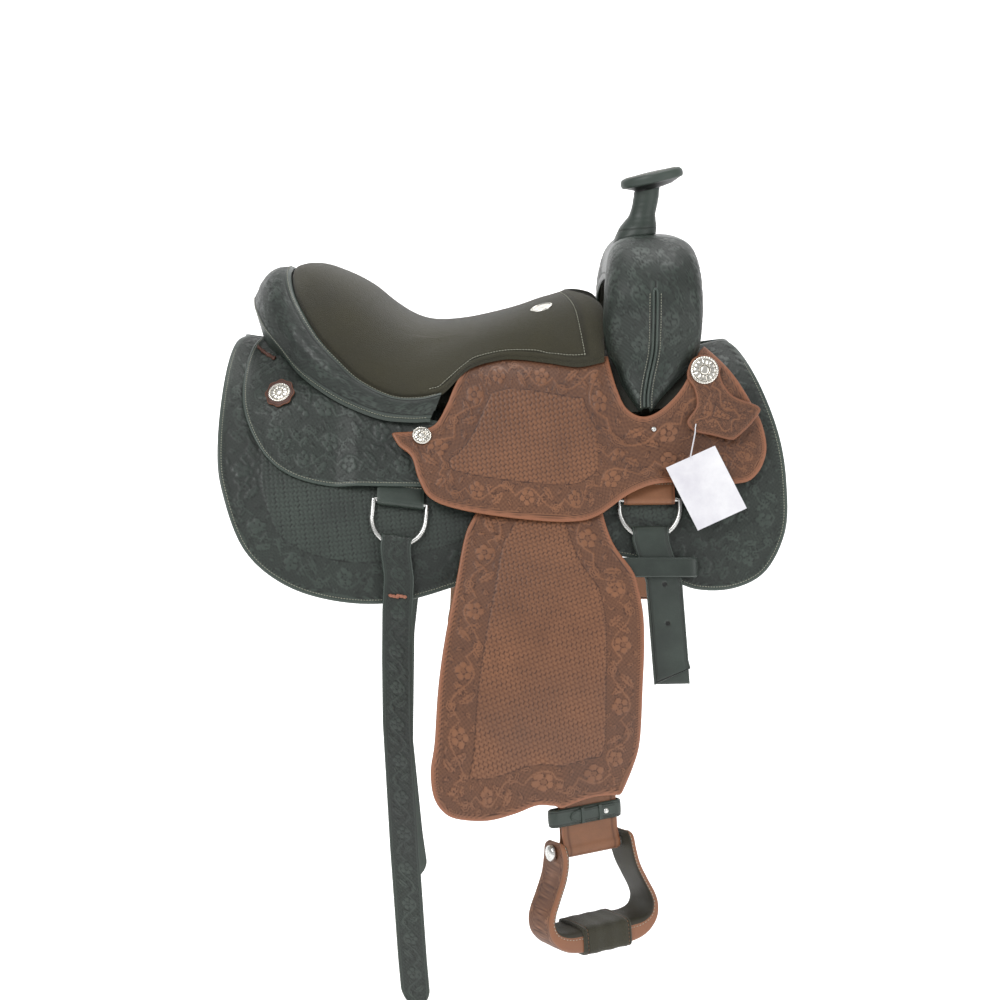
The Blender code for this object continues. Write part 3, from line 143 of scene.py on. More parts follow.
def leather_material(name, light, dark, groove, rim, roughness, grain=0.10, sheen=0.0, scale=1.0, coat=0.0):
    """Dyed leather: two mottled dye shades, grooves painted darker as shade and edges painted lighter as wear
    and highlight.

    Every leather mesh carries "tool": painted groove shade, share of edge wear and highlight, and height.
    """
    made, tree, shader = new_material(name, roughness)
    hide = node(tree, "ShaderNodeGroup", node_tree=HIDE)
    hide.inputs["Scale"].default_value = scale
    tool = node(tree, "ShaderNodeAttribute", attribute_name="tool")
    parts = node(tree, "ShaderNodeSeparateXYZ", {0: tool.outputs["Vector"]})
    dye = mix(tree, scaled(tree, hide.outputs["Mottle"], 0, 1, 0.36, 0.66), dark, light)
    speck = mix(tree, scaled(tree, hide.outputs["Grain"], 0.0, 0.45, 0.35, 0.75), dye, dark)
    # Rim colour mixed in at the edges is wear and painted highlight; groove colour mixed in is painted shade
    # in the cuts.
    wear_and_highlight = mix(tree, parts.outputs[1], speck, rim)
    colour = mix(tree, parts.outputs[0], wear_and_highlight, groove)
    tree.links.new(colour, shader.inputs["Base Color"])
    gloss = scaled(tree, hide.outputs["Mottle"], roughness - 0.08, roughness + 0.12, 0.3, 0.7)
    groove_rough = scaled(tree, parts.outputs[0], 0.0, 0.22)
    rough = node(tree, "ShaderNodeMath", {0: gloss, 1: groove_rough}, operation="ADD")
    tree.links.new(rough.outputs[0], shader.inputs["Roughness"])
    pore_depth = scaled(tree, hide.outputs["Pores"], 0, 0.5, 0.0, 0.2)
    height = node(tree, "ShaderNodeMath", {0: hide.outputs["Grain"], 1: pore_depth}, operation="ADD")
    bump = node(tree, "ShaderNodeBump", {"Strength": grain, "Distance": 0.0012, "Height": height.outputs[0]})
    tree.links.new(bump.outputs[0], shader.inputs["Normal"])
    shader.inputs["Sheen Weight"].default_value = sheen
    shader.inputs["Coat Weight"].default_value = coat
    shader.inputs["Coat Roughness"].default_value = 0.35
    return made


def fibre_material(name, light, dark, roughness, scale, strength, sheen):
    """Fleece, thread and card: soft fibres seen as fine noise with a sheen."""
    made, tree, shader = new_material(name, roughness)
    place = tree.nodes.new("ShaderNodeTexCoord").outputs["Object"]
    cloud = node(tree, "ShaderNodeTexNoise",
                 {"Vector": place, "Scale": scale, "Detail": 8.0, "Roughness": 0.65})
    fibre = node(tree, "ShaderNodeTexWave",
                 {"Vector": place, "Scale": scale * 2, "Distortion": 14.0, "Detail": 4.0})
    shade = mix(tree, scaled(tree, cloud.outputs[0], 0, 1, 0.3, 0.7), dark, light)
    tree.links.new(shade, shader.inputs["Base Color"])
    bump = node(tree, "ShaderNodeBump",
                {"Strength": strength, "Distance": 0.001, "Height": fibre.outputs["Fac"]})
    tree.links.new(bump.outputs[0], shader.inputs["Normal"])
    shader.inputs["Sheen Weight"].default_value = sheen
    return made


GREEN = leather_material(
    "green_leather", (0.040, 0.056, 0.045), (0.020, 0.028, 0.023), (0.002, 0.003, 0.002),
    (0.050, 0.068, 0.057), 0.42, coat=0.06)
FLESH = leather_material(
    "flesh_side", (0.200, 0.105, 0.055), (0.130, 0.068, 0.036), (0.050, 0.026, 0.014),
    (0.220, 0.118, 0.062), 0.9, grain=0.5, sheen=0.1)
FLEECE = fibre_material("fleece", (0.78, 0.70, 0.55), (0.52, 0.44, 0.31), 0.95, 160.0, 0.8, 0.4)

BODY = {name: thing["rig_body"] for name, thing in frame["nodes"].items()}


def ease(value):
    value = np.clip(value, 0.0, 1.0)
    return value * value * (3 - 2 * value)


def curve(points, steps=6):
    """Smooth line through a few points of any dimension, ends included."""
    points = np.array(points, float)
    ends = np.concatenate([[2 * points[0] - points[1]], points, [2 * points[-1] - points[-2]]])
    line = []
    for a, b, c, d in zip(ends, ends[1:], ends[2:], ends[3:]):
        for t in np.arange(steps) / steps:
            line.append(0.5 * (2 * b + (c - a) * t + (2 * a - 5 * b + 4 * c - d) * t * t
                               + (3 * b - a - 3 * c + d) * t ** 3))
    return np.array(line + [points[-1]])


def lengths_along(line):
    """Distance of each point from the start of its line."""
    return np.concatenate([[0], np.cumsum(np.linalg.norm(np.diff(line, axis=0), axis=1))])


def even_count(line, count):
    """Resample a line at a number of evenly spaced points."""
    along = lengths_along(line)
    places = np.linspace(0, along[-1], count)
    return np.stack([np.interp(places, along, line[:, k]) for k in range(line.shape[1])], axis=1)


def even(line, spacing):
    """Resample a line at about the given spacing."""
    return even_count(line, max(2, round(lengths_along(line)[-1] / spacing) + 1))


def outline(*runs, spacing=0.003):
    """Closed outline from smooth runs, in millimetres, that meet at corners."""
    return np.concatenate([even(curve(np.array(run) * MM), spacing)[:-1] for run in runs])


def section(x):
    return HALF_WIDTH - FRONT_TAPER * x, BARREL_DEPTH, BACK_DIP * (x / DIP_REACH) ** 2


def barrel(x, girth, lift):
    """Points over the off side of the horse: station x, girth down round its barrel, lift off its hide."""
    x, girth, lift = np.broadcast_arrays(*(np.asarray(value, float) for value in (x, girth, lift)))
    half, depth, top = section(x)
    angle = np.zeros(x.shape)
    step = girth / 24
    for _ in range(24):
        first = 1 / np.hypot(half * np.cos(angle), depth * np.sin(angle))
        middle = angle + step * first / 2
        angle = angle + step / np.hypot(half * np.cos(middle), depth * np.sin(middle))
    across, up = depth * np.sin(angle), half * np.cos(angle)
    size = np.hypot(across, up)
    return np.stack([x, -half * np.sin(angle) - lift * across / size,
                     top - depth * (1 - np.cos(angle)) + lift * up / size], axis=-1)


def border(points, line):
    """Distance from each point to a closed outline, and how far along the outline that is."""
    a = line
    b = np.roll(line, -1, axis=0)
    span = b - a
    length = np.linalg.norm(span, axis=1)
    start = np.concatenate([[0], np.cumsum(length)[:-1]])
    square = np.maximum(length ** 2, 1e-14)
    near = np.empty(len(points))
    along = np.empty(len(points))
    for k in range(0, len(points), 4000):
        p = points[k:k + 4000, None, :]
        t = np.clip(((p - a) * span).sum(2) / square, 0, 1)
        gap = np.linalg.norm(a + span * t[..., None] - p, axis=2)
        best = gap.argmin(1)
        rows = np.arange(len(best))
        near[k:k + 4000] = gap[rows, best]
        along[k:k + 4000] = start[best] + t[rows, best] * length[best]
    return near, along, length.sum()


def within(points, line):
    inside = np.zeros(len(points), bool)
    x, y = points[:, 0], points[:, 1]
    for (ax, ay), (bx, by) in zip(line, np.roll(line, -1, axis=0)):
        if ay == by:
            continue
        inside ^= ((ay > y) != (by > y)) & (x < (bx - ax) * (y - ay) / (by - ay) + ax)
    return inside


def inset(line, distance):
    """Outline moved inward."""
    ahead = np.roll(line, -1, axis=0) - np.roll(line, 1, axis=0)
    normal = np.stack([ahead[:, 1], -ahead[:, 0]], axis=1)
    normal /= np.linalg.norm(normal, axis=1, keepdims=True)
    following = np.roll(line, -1, axis=0)
    area = (line[:, 0] * following[:, 1] - following[:, 0] * line[:, 1]).sum()
    return line - normal * distance * np.sign(area)


def cut(line, spacing):
    """Triangles of a flat piece of leather: dense rings by its edge and an even lattice inside."""
    low, high = line.min(0), line.max(0)
    rows = np.arange(low[1], high[1], spacing * 0.866)
    columns = np.arange(low[0], high[0], spacing)
    x, y = np.meshgrid(columns, rows)
    x = x + (np.arange(len(rows)) % 2)[:, None] * spacing / 2
    lattice = np.stack([x.ravel(), y.ravel()], axis=1)
    lattice = lattice[within(lattice, line)]
    lattice = lattice[border(lattice, line)[0] > 2.4 * MM + spacing * 0.6]
    rings = [lattice]
    for distance in (0.5 * MM, 1.2 * MM, 2.3 * MM):
        ring = inset(line, distance)
        ring = ring[within(ring, line)]
        rings.append(ring[border(ring, line)[0] > distance * 0.9])
    flat = np.concatenate([line] + rings)
    points, _, triangles, _, _, _ = geometry.delaunay_2d_cdt([Vector(p) for p in flat], [],
                                                            [list(range(len(line)))], 1, 1e-7)
    return np.array([tuple(p) for p in points]), [tuple(triangle) for triangle in triangles]


def piece(name, points, faces, materials, nodes=(), marks=None, picks=None, body=None):
    """Finished closed mesh that stands for some nodes and rides with them."""
    mesh = bpy.data.meshes.new(name)
    faces = [tuple(int(k) for k in face) for face in faces]
    mesh.from_pydata(np.asarray(points, float).tolist(), [], faces)
    if marks is None:
        marks = np.zeros((len(points), 3))
    layer = mesh.attributes.new("tool", "FLOAT_VECTOR", "POINT")
    layer.data.foreach_set("vector", np.asarray(marks, np.float32).ravel())
    for material in materials:
        mesh.materials.append(material)
    if picks is not None:
        mesh.polygons.foreach_set("material_index", np.asarray(picks, np.int32))
    made = bmesh.new()
    made.from_mesh(mesh)
    bmesh.ops.recalc_face_normals(made, faces=made.faces)
    made.to_mesh(mesh)
    made.free()
    mesh.shade_smooth()
    mesh.set_sharp_from_angle(angle=SHARP_ANGLE)
    thing = bpy.data.objects.new(name, mesh)
    bpy.context.scene.collection.objects.link(thing)
    for member in nodes:
        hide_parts(member)
    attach(thing, body or BODY[nodes[0]])
    return thing


def mirrored(points):
    return np.asarray(points, float) * np.array([1.0, -1.0, 1.0])


def both(name, stem, points, faces, materials, marks=None, picks=None, bodies=None):
    """The off piece and its mirror image on the near side."""
    for k, (side, place) in enumerate((("off", points), ("near", mirrored(points)))):
        nodes = [stem + "_" + side] if stem else []
        body = bodies[k] if bodies else None
        piece(name + "_" + side, place, faces, materials, nodes, marks, picks, body)


def walls(triangles):
    """Edges of a triangulated piece that belong to one triangle only."""
    pairs = set()
    for a, b, c in triangles:
        pairs.update(((a, b), (b, c), (c, a)))
    return [pair for pair in pairs if (pair[1], pair[0]) not in pairs]


def fade(distance, reach):
    """1 at an edge, falling to 0 at a reach from it."""
    return np.clip(1 - distance / reach, 0, 1)


def round_off(near, radius):
    """How far a rounded edge has fallen at a distance from it, as a share of its radius."""
    return 1 - np.sqrt(1 - (1 - np.clip(near / radius, 0, 1)) ** 2)


def plain_inside(marks):
    """Marks of a piece whose face is worked and whose inside is plain."""
    return np.concatenate([marks, np.zeros_like(marks)])


def laid(line, spacing, place, low, high, relief, under=None, roll=1.7 * MM):
    """Closed sheet of leather laid on a surface, tooled on its face and rounded at its edge."""
    flat, triangles = cut(line, spacing)
    near, along, length = border(flat, line)
    height, marks = relief(flat, near, along, length)
    x, w = flat[:, 0], flat[:, 1]
    bottom = low(x, w)
    top = high(x, w)
    drop = round_off(near, roll) * (top - bottom) * 0.42
    sink = under(flat, near) if under else 0.0
    points = np.concatenate([place(x, w, top + height - drop), place(x, w, bottom + drop * 0.6 + sink)])
    count = len(flat)
    faces = list(triangles)
    faces += [(c + count, b + count, a + count) for a, b, c in triangles]
    faces += [(b, a, a + count, b + count) for a, b in walls(triangles)]
    picks = [0] * len(triangles) + [1] * len(triangles) + [0] * (len(faces) - 2 * len(triangles))
    marks = np.concatenate([marks, marks * [0.2, 0.2, 1.0]])
    return points, faces, marks, picks


# Tooling: heights are depths below the face, in millimetres

def dome(distance, radius):
    return np.sqrt(np.clip(1 - (distance / radius) ** 2, 0, 1))


def line_cut(distance, width):
    """Cut of a swivel knife or a creaser: 1 at its middle, 0 beyond its width."""
    return np.exp(-(distance / width) ** 2 * 2.2)


def basket(x, y, pitch=7.2 * MM, slant=0.62):
    """Basket stamp: rows of rounded bars, each row set half a bar along from the last."""
    a = (x * math.cos(slant) + y * math.sin(slant)) / pitch
    b = (y * math.cos(slant) - x * math.sin(slant)) / (pitch * 0.58)
    row = np.floor(b)
    a = a + 0.5 * (row % 2)
    u = 2 * (a - np.floor(a)) - 1
    v = 2 * (b - row) - 1
    bar = (1 - np.abs(u) ** 4) * (1 - 0.75 * v ** 4)
    fine = 0.10 * np.cos(v * 9.4) * (1 - u ** 2)
    # The second value marks the hollows between the bars, to be painted darker as shade.
    return (bar + fine - 1) * 0.62, np.clip(1 - bar, 0, 1) ** 1.3


def turned_to(x, y, cx, cy, angle):
    c, s = math.cos(angle), math.sin(angle)
    dx, dy = x - cx, y - cy
    return dx * c + dy * s, dy * c - dx * s


def flower(x, y, cx, cy, radius, angle):
    """Five round petals with cut edges, veins and a seeded middle."""
    u, v = turned_to(x, y, cx, cy, angle)
    away = np.hypot(u, v)
    turn = np.arctan2(v, u)
    lobe = np.abs(np.cos(2.5 * turn))
    reach = radius * (0.62 + 0.38 * lobe ** 0.55)
    cover = np.clip((reach - away) / (0.5 * MM), 0, 1)
    petal = 0.42 * dome(away - reach * 0.62, reach * 0.55)
    veins = 0.16 * np.cos(turn * 25) * np.clip(away / radius - 0.3, 0, 1)
    between = line_cut(radius * lobe * 0.30, 0.9 * MM) * (away > radius * 0.28)
    middle = away < radius * 0.27
    seeds = 0.18 * np.cos(u / radius * 34) * np.cos(v / radius * 34)
    height = np.where(middle, 0.05 + seeds, petal - 0.38 + veins - between * 0.45)
    dark = np.where(middle, 0.25, between * 0.9)
    dark = np.maximum(dark, line_cut(away - reach, 0.8 * MM))
    dark = np.maximum(dark, line_cut(away - radius * 0.28, 0.7 * MM))
    return cover, height, dark, np.abs(away - reach)


def leaf(x, y, cx, cy, size, angle, bend):
    """Curled acanthus leaf: a bent midrib, side veins and a lobed edge."""
    u, v = turned_to(x, y, cx, cy, angle)
    t = u / size
    v = v - bend * size * t * t
    body = np.clip(np.sin(np.pi * np.clip(t, 0, 1)), 0, 1) ** 0.75
    lobes = 1 - 0.26 * np.abs(np.sin(t * 15))
    half = np.maximum(size * 0.24 * body * lobes, 1e-6)
    inside = (t > 0) & (t < 1)
    cover = np.where(inside, np.clip((half - np.abs(v)) / (0.5 * MM), 0, 1), 0)
    rib = line_cut(v, 0.8 * MM)
    veins = line_cut(np.sin(t * 15 - np.abs(v) / size * 9), 0.42) * (np.abs(v) > 0.8 * MM)
    height = 0.34 * dome(np.abs(v) - half * 0.5, half * 0.62) - 0.36 - rib * 0.3 - veins * 0.22
    dark = np.maximum(rib * 0.8, veins * 0.55)
    dark = np.maximum(dark, np.where(inside, line_cut(np.abs(v) - half, 0.8 * MM), 0))
    gap = np.where(inside, np.abs(np.abs(v) - half), 1.0)
    return cover, height, dark, gap


def scroll(x, y, cx, cy, radius, angle, hand):
    """Tendril that winds in to a round eye."""
    u, v = turned_to(x, y, cx, cy, angle)
    v = v * hand
    away = np.hypot(u, v)
    turn = np.arctan2(v, u) / math.tau
    wind = (away / radius - 0.18) / 0.42 - turn
    lane = np.abs(wind - np.round(wind)) * radius * 0.42
    cover = np.clip((radius - away) / (0.5 * MM), 0, 1)
    eye = line_cut(away - radius * 0.22, 0.8 * MM)
    groove = np.where(away > radius * 0.26, line_cut(lane, 0.8 * MM), eye)
    dark = np.maximum(groove * 0.9, line_cut(away - radius, 0.8 * MM))
    return cover, -0.10 - groove * 0.42, dark, np.abs(away - radius)


MOTIFS = [
    # kind, place along and across the band, size, angle and bend or hand, in shares of the period and band
    (flower, -0.27, 0.02, 0.300, 0.4),
    (leaf, -0.10, 0.30, 0.62, -0.75, -0.22),
    (leaf, 0.02, -0.42, 0.66, 0.62, 0.24),
    (scroll, 0.30, 0.30, 0.185, 1.2, 1),
    (scroll, 0.06, 0.06, 0.120, 0.3, -1),
    (leaf, 0.50, 0.42, 0.40, -2.5, 0.2),
    (leaf, 0.44, -0.40, 0.34, 2.2, -0.2),
    (leaf, -0.36, 0.34, 0.34, 2.3, 0.25),
    (leaf, -0.38, -0.32, 0.34, -2.2, -0.25),
    (leaf, -0.14, -0.34, 0.26, -0.5, 0.3),
]


def scrollwork(a, b, period, band):
    """Running flower and leaf pattern in rows, each cell turned over from the one before it."""
    row = np.floor(b / band)
    cell = np.floor(a / period + 0.5 * (row % 2))
    x = (a / period + 0.5 * (row % 2) - cell - 0.5) * period
    y = (b / band - row - 0.5) * band * np.where((cell + row) % 2 == 0, 1, -1)
    ground = 0.10 * np.cos(a / (0.85 * MM)) * np.cos(b / (0.85 * MM))
    height = -0.62 + ground
    # dark marks painted shade: the stamped ground and the cut lines are painted darker.
    dark = 0.52 - ground * 2.0
    for kind, along, across, size, *words in MOTIFS:
        cover, rise, painted_cut_shade, gap = kind(x, y, along * period, across * band, size * band, *words)
        height = height * (1 - cover) + rise * cover
        dark = dark * (1 - cover) + np.clip(painted_cut_shade, 0, 1) * cover
        dark = np.maximum(dark, line_cut(gap, 0.7 * MM) * 0.9)
    stem = 0.30 * band * np.sin(math.tau * x / period)
    near_stem = np.abs(y - stem)
    cover = np.clip((1.4 * MM - near_stem) / (0.4 * MM), 0, 1) * (dark > 0.4)
    return height * (1 - cover) - 0.15 * cover, dark * (1 - cover)


def tooling(rim=6.5 * MM, band=34 * MM, period=66 * MM, wide=None, depth=1.0):
    """Relief of a tooled sheet: smooth rim, creased line, flower band, and basket stamp within."""
    def relief(flat, near, along, length):
        x, w = flat[:, 0], flat[:, 1]
        count = max(1, round(length / period))
        start = rim + 2.5 * MM
        height, dark = basket(x, w)
        flowers, painted_cut_shade = scrollwork(along, near - start, length / count, band)
        in_band = near < start + band
        edge_dark = line_cut(near - start - band, 0.9 * MM)
        if wide is not None:
            more, more_painted_cut_shade = scrollwork(x + 0.012, w, period * 0.92, band)
            region = wide(x, w) & ~in_band
            height = np.where(region, more, height)
            dark = np.where(region, more_painted_cut_shade, dark)
            edge_dark = np.where(wide(x, w), 0.0, edge_dark)
        height = np.where(in_band, flowers, height) - 0.35 * edge_dark
        dark = np.maximum(np.where(in_band, painted_cut_shade, dark), edge_dark)
        smooth = near < start - 1.2 * MM
        height = np.where(smooth, 0.0, height)
        dark = np.where(smooth, 0.0, dark)
        creases = line_cut(near - rim, 0.8 * MM) + 0.6 * line_cut(near - rim + 2.2 * MM, 0.6 * MM)
        height = height - 0.5 * creases
        dark = np.maximum(dark, np.clip(creases, 0, 1))
        # Cuts and creases are marked dark as painted shade; the edge is marked lighter as wear and painted
        # highlight.
        edge_wear_and_highlight = fade(near, rim) ** 0.5 * 0.8
        marks = np.stack([np.clip(dark, 0, 1), edge_wear_and_highlight, np.clip(1 + height, 0, 1)], axis=1)
        return height * depth * MM, marks
    return relief


def smooth_face(flat, near, along, length):
    """Relief of an untooled sheet: one creased line along its edge."""
    rim = 3.0 * MM
    crease = line_cut(near - rim, 0.7 * MM)
    # The crease is marked dark as painted shade; the edge is marked lighter as wear and painted highlight.
    edge_wear_and_highlight = fade(near, rim) ** 0.5 * 0.8
    return -0.4 * MM * crease, np.stack([crease * 0.8, edge_wear_and_highlight, 1 - crease], axis=1)


def pile(flat, near):
    """Curly tufts of the fleece, hanging below its backing."""
    x, w = flat[:, 0], flat[:, 1]
    wander = 3 * MM * np.sin(w * 260 + 2 * np.sin(x * 170))
    tuft = np.abs(np.sin((x + wander) * 380)) * np.abs(np.sin((w + 2 * MM * np.sin(x * 310)) * 350))
    fine = np.sin(x * 1900) * np.sin(w * 1700)
    return (-2.6 * tuft ** 0.6 - 0.5 * fine + 1.2) * MM


def flat_lift(value):
    return lambda x, w: np.full(np.shape(x), value)


def front_lobe(x, w):
    return (x > 0.20) | (x < -0.285)


def pair_of(name, stem, made, materials):
    points, faces, marks, picks = made
    both(name, stem, points, faces, materials, marks, picks)


SKIRT_EDGE = outline(SKIRT_LINE, CHANNEL_LINE)
pair_of("skirt_tooled", "skirt",
        laid(SKIRT_EDGE, 1.9 * MM, barrel, flat_lift(SKIRT_IN), flat_lift(SKIRT_OUT),
             tooling(rim=7 * MM, band=38 * MM, period=74 * MM, wide=front_lobe)), [GREEN, FLESH])
pair_of("fleece_pile", "fleece",
        laid(inset(SKIRT_EDGE, 1.5 * MM), 3.4 * MM, barrel, flat_lift(0.0), flat_lift(FLEECE_THICK),
             smooth_face, under=pile, roll=2.4 * MM), [FLEECE, FLEECE])

# Stitches and lacing
# Waxed thread sunk in a groove; every run is a line of small closed capsules set at an even pitch.

THREAD = fibre_material("thread", (0.42, 0.42, 0.33), (0.24, 0.24, 0.18), 0.8, 900.0, 0.5, 0.2)


def stitch_tree():
    tree = bpy.data.node_groups.new("stitches", "GeometryNodeTree")
    face = tree.interface
    face.new_socket("Geometry", in_out="INPUT", socket_type="NodeSocketGeometry")
    for name in ("Pitch", "Length", "Width"):
        face.new_socket(name, in_out="INPUT", socket_type="NodeSocketFloat")
    face.new_socket("Thread", in_out="INPUT", socket_type="NodeSocketMaterial")
    face.new_socket("Geometry", in_out="OUTPUT", socket_type="NodeSocketGeometry")
    given = tree.nodes.new("NodeGroupInput")
    result = tree.nodes.new("NodeGroupOutput")
    line = node(tree, "GeometryNodeMeshToCurve", {"Mesh": given.outputs["Geometry"]})
    steps = node(tree, "GeometryNodeResampleCurve", {"Curve": line.outputs[0]})
    if "Mode" in steps.inputs:
        steps.inputs["Mode"].default_value = "Length"
    else:
        steps.mode = "LENGTH"
    tree.links.new(given.outputs["Pitch"], steps.inputs["Length"])
    ball = node(tree, "GeometryNodeMeshUVSphere", {"Segments": 8, "Rings": 5, "Radius": 0.5})
    size = node(tree, "ShaderNodeCombineXYZ", {0: given.outputs["Length"], 1: given.outputs["Width"],
                                               2: given.outputs["Width"]})
    tangent = node(tree, "GeometryNodeInputTangent")
    turn = node(tree, "FunctionNodeAlignRotationToVector", {"Vector": tangent.outputs[0]}, axis="X")
    spread = node(tree, "GeometryNodeInstanceOnPoints",
                  {"Points": steps.outputs[0], "Instance": ball.outputs[0], "Rotation": turn.outputs[0],
                   "Scale": size.outputs[0]})
    real = node(tree, "GeometryNodeRealizeInstances", {0: spread.outputs[0]})
    paint = node(tree, "GeometryNodeSetMaterial",
                 {"Geometry": real.outputs[0], "Material": given.outputs["Thread"]})
    smooth = node(tree, "GeometryNodeSetShadeSmooth", {0: paint.outputs[0]})
    tree.links.new(smooth.outputs[0], result.inputs["Geometry"])
    return tree


STITCHES = stitch_tree()


def stitched(name, paths, body, pitch=3.4 * MM, length=2.6 * MM, width=0.9 * MM, thread=THREAD):
    """Stitches along some paths of points, as one plain mesh that rides a body."""
    points = []
    edges = []
    for path in paths:
        start = len(points)
        points += [tuple(p) for p in path]
        edges += [(k, k + 1) for k in range(start, len(points) - 1)]
    mesh = bpy.data.meshes.new(name + "_line")
    mesh.from_pydata(points, edges, [])
    thing = bpy.data.objects.new(name, mesh)
    bpy.context.scene.collection.objects.link(thing)
    change = thing.modifiers.new("stitches", "NODES")
    change.node_group = STITCHES
    values = {"Pitch": pitch, "Length": length, "Width": width, "Thread": thread}
    for entry in STITCHES.interface.items_tree:
        if entry.name in values:
            change[entry.identifier] = values[entry.name]
    bpy.context.view_layer.update()
    graph = bpy.context.evaluated_depsgraph_get()
    plain = bpy.data.meshes.new_from_object(thing.evaluated_get(graph))
    thing.modifiers.clear()
    thing.data = plain
    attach(thing, body)


def bodies_of(stem):
    return BODY[stem + "_off"], BODY[stem + "_near"]


def stitched_pair(name, paths, bodies=ON_SADDLE, **sizes):
    stitched(name + "_off", paths, bodies[0], **sizes)
    stitched(name + "_near", [mirrored(path) for path in paths], bodies[1], **sizes)


def run_of(line, distance, keep):
    """Line of a border at a distance from its edge, started where the kept part starts."""
    ring = inset(line, distance)
    kept = keep(ring)
    first = int(np.argmax(kept & ~np.roll(kept, 1)))
    ring = np.roll(ring, -first, axis=0)
    return ring[np.roll(kept, -first)]


skirt_seam = run_of(SKIRT_EDGE, 4.6 * MM, lambda p: p[:, 1] > 0.060)
stitched_pair("skirt_seam", [barrel(skirt_seam[:, 0], skirt_seam[:, 1], SKIRT_OUT - 0.05 * MM)])

# Rear jockeys
# Second layer of leather behind the seat, tooled, with a rolled edge painted lighter as wear and highlight,
# and lacing at the back.

STRAP_THICK = 3.0 * MM
STRAP_IN = SKIRT_OUT + GAP
STRAP_OUT = STRAP_IN + 2 * STRAP_THICK + GAP
BAR_OUT = SKIRT_OUT + GAP + 18.0 * MM
REAR_IN = BAR_OUT + GAP
JOCKEY_THICK = 4.0 * MM
POCKET_IN = SKIRT_OUT + 19.0 * MM
JOCKEY_HIGH = REAR_IN + JOCKEY_THICK + GAP + 12.0 * MM


def rear_jockey_lift(x, girth):
    bump = ease((x + 0.20) / 0.03) * ease((-0.045 - x) / 0.03) * ease((girth - 0.10) / 0.05)
    over_bars = ease((x + 0.305) / 0.06) * ease((0.195 - girth) / 0.07)
    low = STRAP_IN + bump * (STRAP_OUT - STRAP_IN + GAP)
    return low + (REAR_IN - low) * over_bars


def rear_jockey_face(x, girth):
    return rear_jockey_lift(x, girth) + JOCKEY_THICK


REAR_JOCKEY_EDGE = outline(
    [(-292, 1), (-306, 40), (-313, 100), (-312, 150), (-300, 188), (-278, 219), (-248, 235), (-205, 239),
     (-150, 233), (-70, 224)],
    [(-70, 224), (-60, 205), (-62, 180), (-70, 150)],
    [(-70, 150), (-120, 146), (-170, 139), (-205, 125), (-236, 98), (-254, 60), (-262, 1)],
    [(-262, 1), (-292, 1)], spacing=0.0025)
pair_of("rear_jockey_tooled", "rear_jockey",
        laid(REAR_JOCKEY_EDGE, 1.6 * MM, barrel, rear_jockey_lift, rear_jockey_face,
             tooling(rim=6 * MM, band=34 * MM, period=64 * MM, wide=lambda x, w: x < 1)), [GREEN, FLESH])
rear_seam = run_of(REAR_JOCKEY_EDGE, 3.8 * MM, lambda p: (p[:, 1] > 0.030) & (p[:, 0] < -0.075))
rear_seam = rear_seam[: int(len(rear_seam) * 0.62)]
rear_seam_x, rear_seam_girth = rear_seam.T
stitched_pair("rear_jockey_seam",
              [barrel(rear_seam_x, rear_seam_girth, rear_jockey_face(rear_seam_x, rear_seam_girth))])

# Side jockeys
# Tan leather over the tree bars and the fender tops, cut out round the swell.
# It is basket stamped inside a flower band and screwed down at its conchos.

TAN = leather_material(
    "tan_leather", (0.245, 0.100, 0.043), (0.155, 0.062, 0.027), (0.036, 0.012, 0.006),
    (0.290, 0.112, 0.056), 0.44, coat=0.05)
SEAT_TUCK = 12.0 * MM
SEAT_EDGE_THICK = 4.0 * MM
SEAT_FRONT_LINE = [(128, -112), (96, -118), (62, -114), (25, -110), (-2, -112), (-38, -126), (-71, -147)]


def jockey_lift(x, girth):
    front = ease((x - 0.165) / 0.06)
    low = POCKET_IN + (STRAP_OUT + GAP - POCKET_IN) * front
    return low + (JOCKEY_HIGH - low) * ease((0.165 - girth) / 0.075)


def jockey_face(x, girth):
    return jockey_lift(x, girth) + JOCKEY_THICK


def girth_at(x, y, lift):
    """Girth at which a lifted surface is as wide as y."""
    x, y = np.broadcast_arrays(np.asarray(x, float), np.abs(np.asarray(y, float)))
    low, high = np.zeros(x.shape), np.full(x.shape, 0.40)
    for _ in range(20):
        middle = (low + high) / 2
        short = -barrel(x, middle, lift(x, middle))[..., 1] < y
        low = np.where(short, middle, low)
        high = np.where(short, high, middle)
    return (low + high) / 2


def height_at(x, y, lift):
    girth = girth_at(x, y, lift)
    return barrel(x, girth, lift(x, girth))[..., 2]


SEAT_FRONT = np.array(SEAT_FRONT_LINE) * MM
UNDER_SEAT = [(x / MM, float(girth_at(x, abs(y) - SEAT_TUCK, jockey_face)) / MM)
              for x, y in SEAT_FRONT[1:]]
JOCKEY_REAR = [(-55, 113), (-65, 134), (-79, 156), (-102, 166), (-128, 171), (-129, 175)]
NOTCH = [(252, 62), (243, 71), (233, 91), (218, 111), (193, 130), (172, 136), (153, 127), (142, 107),
         (136, 87), (133, 70)]
JOCKEY_EDGE = outline(
    [(-129, 175), (-121, 186), (-106, 197), (-97, 222), (-82, 242), (-45, 251), (30, 256), (85, 256),
     (118, 248), (160, 221), (205, 209), (286, 213), (312, 204), (325, 178), (321, 148), (305, 122),
     (278, 88), (252, 62)], NOTCH,
    [NOTCH[-1]] + UNDER_SEAT[:-1] + JOCKEY_REAR, spacing=0.0025)
pair_of("jockey_tooled", "jockey",
        laid(JOCKEY_EDGE, 1.35 * MM, barrel, jockey_lift, jockey_face,
             tooling(rim=6.5 * MM, band=33 * MM, period=62 * MM,
                     wide=lambda x, w: (x > 0.118) | (x < -0.075))), [TAN, FLESH])

# Seat
# Suede over foam, held down along its front and sides by a light stitched line.

